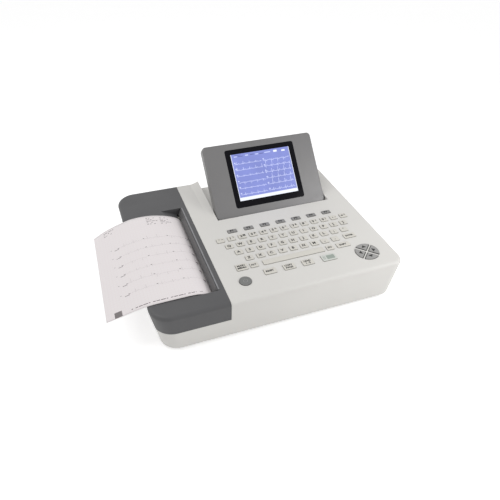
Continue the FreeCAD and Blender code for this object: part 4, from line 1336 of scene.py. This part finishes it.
    def line_on(self, draft: Draft, path: Sequence[Point2], width: float) -> None:
        """Adds a printed line.

        Args:
            draft: The mesh to add to.
            path: Its points.
            width: Its width.
        """
        places = [(1 - a * MM / self.length, b * MM / self.width) for a, b in path]
        points = [self.point(a, b, self.print_lift) for a, b in places]
        draft.ribbon(points, [self.normal(a, b) for a, b in places], width * MM)

    def stroke(self, draft: Draft, start: float, across: float, reach: float, width: float) -> None:
        """Adds a straight printed stroke that starts at a place and reaches towards the slot."""
        self.line_on(draft, [(start, across), (start + reach, across)], width)

    def trace_print(self) -> Draft:
        """The printed heart traces, row by row along the strip.

        Returns:
            Their mesh.
        """
        draft = Draft("paper_traces")
        for row in range(self.print_rows):
            base = self.first_trace + self.row_pitch * row
            for column, start in enumerate(self.trace_columns):
                path = []
                for i in range(self.trace_steps + 1):
                    share = i / self.trace_steps
                    height = heartbeat((share * self.beats + self.row_delay * row) % 1.0, row + column * 2)
                    path.append((start + share * self.trace_length, base + self.trace_height * height))
                self.line_on(draft, path, self.trace_width)
        return draft

    def label_print(self) -> Draft:
        """Lead labels and the blocks of small print near the back edge, as short strokes.

        Returns:
            Their mesh.
        """
        draft = Draft("paper_labels")
        for row in range(self.print_rows):
            base = self.first_label + self.row_pitch * row
            for start, across, reach, width in self.row_strokes:
                self.stroke(draft, start, base + across, reach, width)
        for block, (start, lines) in enumerate(self.blocks):
            for line in range(lines):
                place, across = start, self.block_top - line * self.block_pitch
                for word in range(3):
                    reach = 3.0 + 2.4 * ((word * 7 + line * 5 + block * 3) % 4)
                    if place + reach > start + self.block_width:
                        break
                    self.stroke(draft, place, across, reach, self.small_print)
                    place += reach + self.small_gap
        return draft

    def settings_print(self) -> Draft:
        """The line of settings printed along the front edge, as short strokes.

        Returns:
            Their mesh.
        """
        draft = Draft("paper_settings")
        place, end, across, width = self.settings
        word_gap, line_gap = self.setting_gaps
        word = 0
        while place < end:
            reach = 2.0 + 1.7 * ((word * 5) % 4)
            self.stroke(draft, place, across, reach, width)
            place += reach + (word_gap if word % 4 else line_gap)
            word += 1
        return draft

    def end_print(self) -> Draft:
        """The square sheet-end mark near the free front corner, as a wide line in steps of a millimetre.

        Returns:
            Its mesh.
        """
        draft = Draft("paper_end_mark")
        start, across, reach, width = self.end_mark
        self.line_on(draft, [(start + i, across) for i in range(int(reach) + 1)], width)
        return draft


@dataclass
class PaperGuide:
    """The satin guide plate on the right wall of the paper slot, bent over at its lower edge."""

    palette: Palette
    front_y: float = -133.5 * MM
    back_y: float = 88.5 * MM
    thick: float = 0.5 * MM
    steps: int = 24
    section: tuple[Point2, ...] = ((-98.75, -0.25), (-99.5, -2.0), (-101.2, -5.4), (-102.9, -9.0),
                                   (-103.8, -11.6), (-103.6, -12.6))

    def build(self) -> None:
        """Builds the plate as one bent strip."""
        draft = Draft("paper_guide")
        start, end = DECK.v_at(self.front_y), DECK.v_at(self.back_y)
        grid = []
        for i in range(self.steps + 1):
            v = start + (end - start) * i / self.steps
            grid.append(draft.row(DECK.place(x * MM, v, w * MM) for x, w in self.section))
        for one, two in zip(grid, grid[1:]):
            draft.band(one, two, closed=False)
        plate = draft.piece("printer_cover", self.palette.guide, Slot.STEEL, smooth=40.0)
        body = plate.modifiers.new("thickness", "SOLIDIFY")
        body.thickness = self.thick
        body.offset = 0.0


@dataclass
class Contacts:
    """Pins, tongues and blades inside the sockets on the right-hand and rear panels."""

    palette: Palette
    pin_rows: tuple[tuple[int, float], ...] = ((8, 1.42), (7, -1.42))
    pin_pitch: float = 2.76 * MM
    pin_radius: float = 0.5 * MM
    pin_length: float = 3.4 * MM
    pin_profile: tuple[Point2, ...] = ((0.0, 1.0), (0.7, 1.0), (0.88, 0.85), (0.97, 0.55), (1.0, 0.2))
    pin_sides: int = 12
    socket_floor: float = 4.0 * MM
    port_floor: float = 10.0 * MM
    port_places: Point2 = (8.0 * MM, 24.0 * MM)
    port_wires: int = 4
    network_place: float = 44.0 * MM
    network_wires: int = 8
    tongue: Point3 = (7.4 * MM, 8.6 * MM, 1.7 * MM)
    tongue_level: float = 0.9 * MM
    wire: Point3 = (6.0 * MM, 0.55 * MM, 0.3 * MM)
    wire_pitch: float = 1.02 * MM
    wire_level: float = -0.1 * MM
    network_level: float = -2.6 * MM
    blade: Point3 = (12.2 * MM, 2.2 * MM, 4.2 * MM)
    blade_places: tuple[Point2, ...] = ((-7.0, -2.0), (0.0, 2.0), (7.0, -2.0))
    inlet_depth: float = 17.0 * MM

    def build(self) -> None:
        """Builds the contacts of every socket."""
        self.socket_pins()
        self.port_contacts()
        self.inlet_blades()

    @staticmethod
    def bar(draft: Draft, root: Vector, axis: Vector, across: Vector, size: Point3) -> None:
        """Adds a straight bar with a bevelled tip.

        Args:
            draft: The mesh to add to.
            root: Middle of its foot.
            axis: Direction it points.
            across: Direction of its width.
            size: Its length, width and thickness.
        """
        length, width, thick = size
        up = axis.cross(across)
        bevel = min(width, thick) * 0.3
        half = thick / 2
        profile = ((0.0, -half), (length - bevel, -half), (length, bevel - half),
                   (length, half - bevel), (length - bevel, half), (0.0, half))
        left, right = (draft.row(root + axis * a + up * b + across * side for a, b in profile)
                       for side in (-width / 2, width / 2))
        draft.band(left, right)
        draft.face(left)
        draft.face(right[::-1])

    def pin(self, draft: Draft, root: Vector) -> None:
        """Adds a round pin with a rounded tip, pointing to the right of the machine.

        Args:
            draft: The mesh to add to.
            root: Middle of its foot.
        """
        rings = []
        for share, width in self.pin_profile:
            ring = RoundKey(self.pin_radius * width, self.pin_sides).outline(0.0)
            rings.append(draft.row(root + Vector((share * self.pin_length, y, z)) for y, z in ring))
        for low, high in zip(rings, rings[1:]):
            draft.band(low, high)
        draft.face(rings[-1])
        draft.face(rings[0][::-1])

    def socket_pins(self) -> None:
        """The fifteen pins of the patient socket, in two rows."""
        low, high = map(Vector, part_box("patient_socket"))
        middle = (low + high) / 2
        draft = Draft("patient_socket_pins")
        for count, level in self.pin_rows:
            for i in range(count):
                y = middle.y + (i - (count - 1) / 2) * self.pin_pitch
                self.pin(draft, Vector((high.x - self.socket_floor, y, middle.z + level * MM)))
        draft.piece("housing", self.palette.contact, Slot.BRONZE, smooth=40.0)

    def port_contacts(self) -> None:
        """The tongues of the two data ports, and the spring wires of these and of the network port."""
        low, high = map(Vector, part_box("data_ports"))
        floor, level = high.x - self.port_floor, (low.z + high.z) / 2
        right, along = Vector((1, 0, 0)), Vector((0, 1, 0))
        tongues, wires = Draft("data_port_tongues"), Draft("data_port_wires")
        ports = [(y, self.port_wires, self.wire_pitch * 2, self.wire_level) for y in self.port_places]
        ports.append((self.network_place, self.network_wires, self.wire_pitch, self.network_level))
        for y in self.port_places:
            self.bar(tongues, Vector((floor, y, level + self.tongue_level)), right, along, self.tongue)
        for y, count, pitch, height in ports:
            for i in range(count):
                place = y + (i - (count - 1) / 2) * pitch
                self.bar(wires, Vector((floor, place, level + height)), right, along, self.wire)
        tongues.piece("housing", self.palette.black, Slot.INK)
        wires.piece("housing", self.palette.contact, Slot.BRONZE)

    def inlet_blades(self) -> None:
        """The plated sleeves over the mains inlet's three blades."""
        low, high = map(Vector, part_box("mains_inlet"))
        middle = (low + high) / 2
        draft = Draft("inlet_blades")
        for x, z in self.blade_places:
            root = Vector((middle.x + x * MM, high.y - self.inlet_depth, middle.z + z * MM))
            self.bar(draft, root, Vector((0, 1, 0)), Vector((1, 0, 0)), self.blade)
        draft.piece("housing", self.palette.steel, Slot.STEEL)


@dataclass
class Machine:
    """The CAD nodes that show as they are, each group with its finish."""

    palette: Palette

    def build(self) -> None:
        """Gives every carried-over node its finish."""
        p = self.palette
        dress(p.white, "lower_housing", "upper_housing", "battery_cover")
        dress(p.cover_grey, "printer_cover")
        dress(p.display_grey, "display_bezel", "display_rear_cover")
        dress(p.black_glass, "display_window")
        dress(p.screen, "lcd_module")
        dress(p.steel, "platen_shaft", "printer_rails", "housing_screws", "motor_pinion")
        dress(p.dark_steel, "display_hinge_pins")
        dress(p.blade, "tear_bar")
        dress(p.zinc, "motor_bracket", "print_head_bracket", "feed_motor")
        dress(p.aluminium, "print_head")
        dress(p.rubber, "platen_roller", "rubber_feet")
        dress(p.nylon, "platen_gear", "idler_gear", "paper_shaft")
        dress(p.bronze, "platen_bushes", "earth_terminal")
        dress(p.board, "keypad_board", "main_board", "power_supply")
        dress(p.wrap, "battery_pack")
        dress(p.black, "patient_socket", "data_ports", "mains_inlet")
        dress(p.roll_paper, "paper_roll")


@dataclass(frozen=True)
class Lamp:
    """A square soft lamp that faces the machine, with its place and side in metres and its power in watts."""

    name: str
    place: Point3
    side: float
    power: float
    aim: Point3 = (0.0, 0.0, 0.06)

    def build(self) -> None:
        """Hangs the lamp in the studio."""
        data = bpy.data.lights.new(self.name, "AREA")
        data.size = self.side
        data.energy = self.power
        lamp = bpy.data.objects.new(self.name, data)
        lamp.location = self.place
        lamp.rotation_euler = (Vector(self.aim) - Vector(self.place)).to_track_quat("-Z", "Y").to_euler()
        into_scene(lamp)


@dataclass
class Studio:
    """Pale floor, soft light and the camera at the photograph's angle.

    The lamps are a soft key from the front, one close on the right, one above and a fill from the left.
    """

    azimuth: float = math.radians(-20.32)
    elevation: float = math.radians(34.72)
    roll: float = math.radians(-0.19)
    target: Vector = field(default_factory=lambda: Vector((-1.32, -6.48, 50.0)) * MM)
    distance: float = 858.97 * MM
    lens: float = 34.86
    sensor: float = 36.0
    nearest: float = 10.0 * MM
    shift: Point2 = (0.0016, -0.0085)
    floor_reach: float = 6.0
    floor_level: float = -0.2 * MM
    floor_tone: float = 0.93
    floor_white: float = 0.49
    sky_light: float = 0.52
    sky_white: float = 1.0
    lamps: tuple[Lamp, ...] = (Lamp("key", (0.72, -0.82, 0.46), 0.6, 2.7),
                               Lamp("right", (0.44, -0.28, 0.38), 0.22, 0.42),
                               Lamp("top", (-0.65, 0.1, 1.3), 0.8, 4.2),
                               Lamp("fill", (-1.2, 0.3, 0.9), 0.9, 2.2))

    def build(self) -> None:
        """Sets up floor, light and camera."""
        self.floor()
        self.sky()
        for lamp in self.lamps:
            lamp.build()
        self.camera()
        bpy.context.scene.view_settings.view_transform = "Standard"

    @staticmethod
    def background_rays(tree: bpy.types.NodeTree) -> Socket:
        """Tells the rays that show the background from those that light the machine.

        Args:
            tree: Node tree of the floor or the sky.

        Returns:
            1 for camera, glossy and transmission rays, and 0 for the rest.
        """
        path = tree.nodes.new("ShaderNodeLightPath")
        shown = path.outputs["Is Camera Ray"]
        for kind in ("Is Glossy Ray", "Is Transmission Ray"):
            either = tree.nodes.new("ShaderNodeMath")
            either.operation = "MAXIMUM"
            tree.links.new(shown, either.inputs[0])
            tree.links.new(path.outputs[kind], either.inputs[1])
            shown = either.outputs[0]
        return shown

    def floor(self) -> None:
        """A wide pale floor that keeps the machine's shadow."""
        reach = self.floor_reach
        mesh = bpy.data.meshes.new("floor")
        corners = [(x, y, self.floor_level) for x, y in rectangle(-reach, -reach, reach, reach)]
        mesh.from_pydata(corners, [], [(0, 1, 2, 3)])
        floor = bpy.data.objects.new("floor", mesh)
        into_scene(floor)
        tree = Tree("pale_floor")
        tree.give("Base Color", (self.floor_tone, self.floor_tone, self.floor_tone, 1))
        tree.give("Roughness", 0.9)
        tree.give("Specular IOR Level", 0.1)
        tree.give("Emission Color", (1, 1, 1, 1))
        scale = tree.add("Math", {1: self.floor_white}, operation="MULTIPLY")
        tree.link(self.background_rays(tree.material.node_tree), scale, 0)
        tree.link(scale.outputs[0], tree.shader, "Emission Strength")
        mesh.materials.append(tree.material)

    def sky(self) -> None:
        """Even light from all sides, which shows as white."""
        world = bpy.data.worlds.new("sky")
        bpy.context.scene.world = world
        world.use_nodes = True
        nodes, links = world.node_tree.nodes, world.node_tree.links
        background = nodes["Background"]
        background.inputs["Color"].default_value = (1, 1, 1, 1)
        level = nodes.new("ShaderNodeMapRange")
        level.inputs["To Min"].default_value = self.sky_light
        level.inputs["To Max"].default_value = self.sky_white
        links.new(self.background_rays(world.node_tree), level.inputs["Value"])
        links.new(level.outputs["Result"], background.inputs["Strength"])

    def camera(self) -> None:
        """The camera, from the angle, distance and lens measured in the photograph."""
        ca, sa = math.cos(self.azimuth), math.sin(self.azimuth)
        ce, se = math.cos(self.elevation), math.sin(self.elevation)
        back = Vector((sa * ce, -ca * ce, se))
        right = Vector((ca, sa, 0.0))
        up = back.cross(right)
        turn = Matrix((right, up, back)).transposed().to_4x4() @ Matrix.Rotation(self.roll, 4, "Z")
        data = bpy.data.cameras.new("camera")
        data.lens = self.lens
        data.sensor_width = self.sensor
        data.shift_x, data.shift_y = self.shift
        data.clip_start = self.nearest
        camera = bpy.data.objects.new("camera", data)
        camera.matrix_world = Matrix.Translation(self.target + back * self.distance) @ turn
        into_scene(camera)
        bpy.context.scene.camera = camera


def main() -> None:
    """Builds every group in order."""
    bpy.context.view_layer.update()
    palette = Palette()
    for group in (Studio(), Machine(palette), KeyDeck(palette), Screen(palette), PaperSheet(palette),
                  PaperGuide(palette), Contacts(palette)):
        LOG.info("building %s", type(group).__name__)
        group.build()


if __name__ == "__main__":
    main()
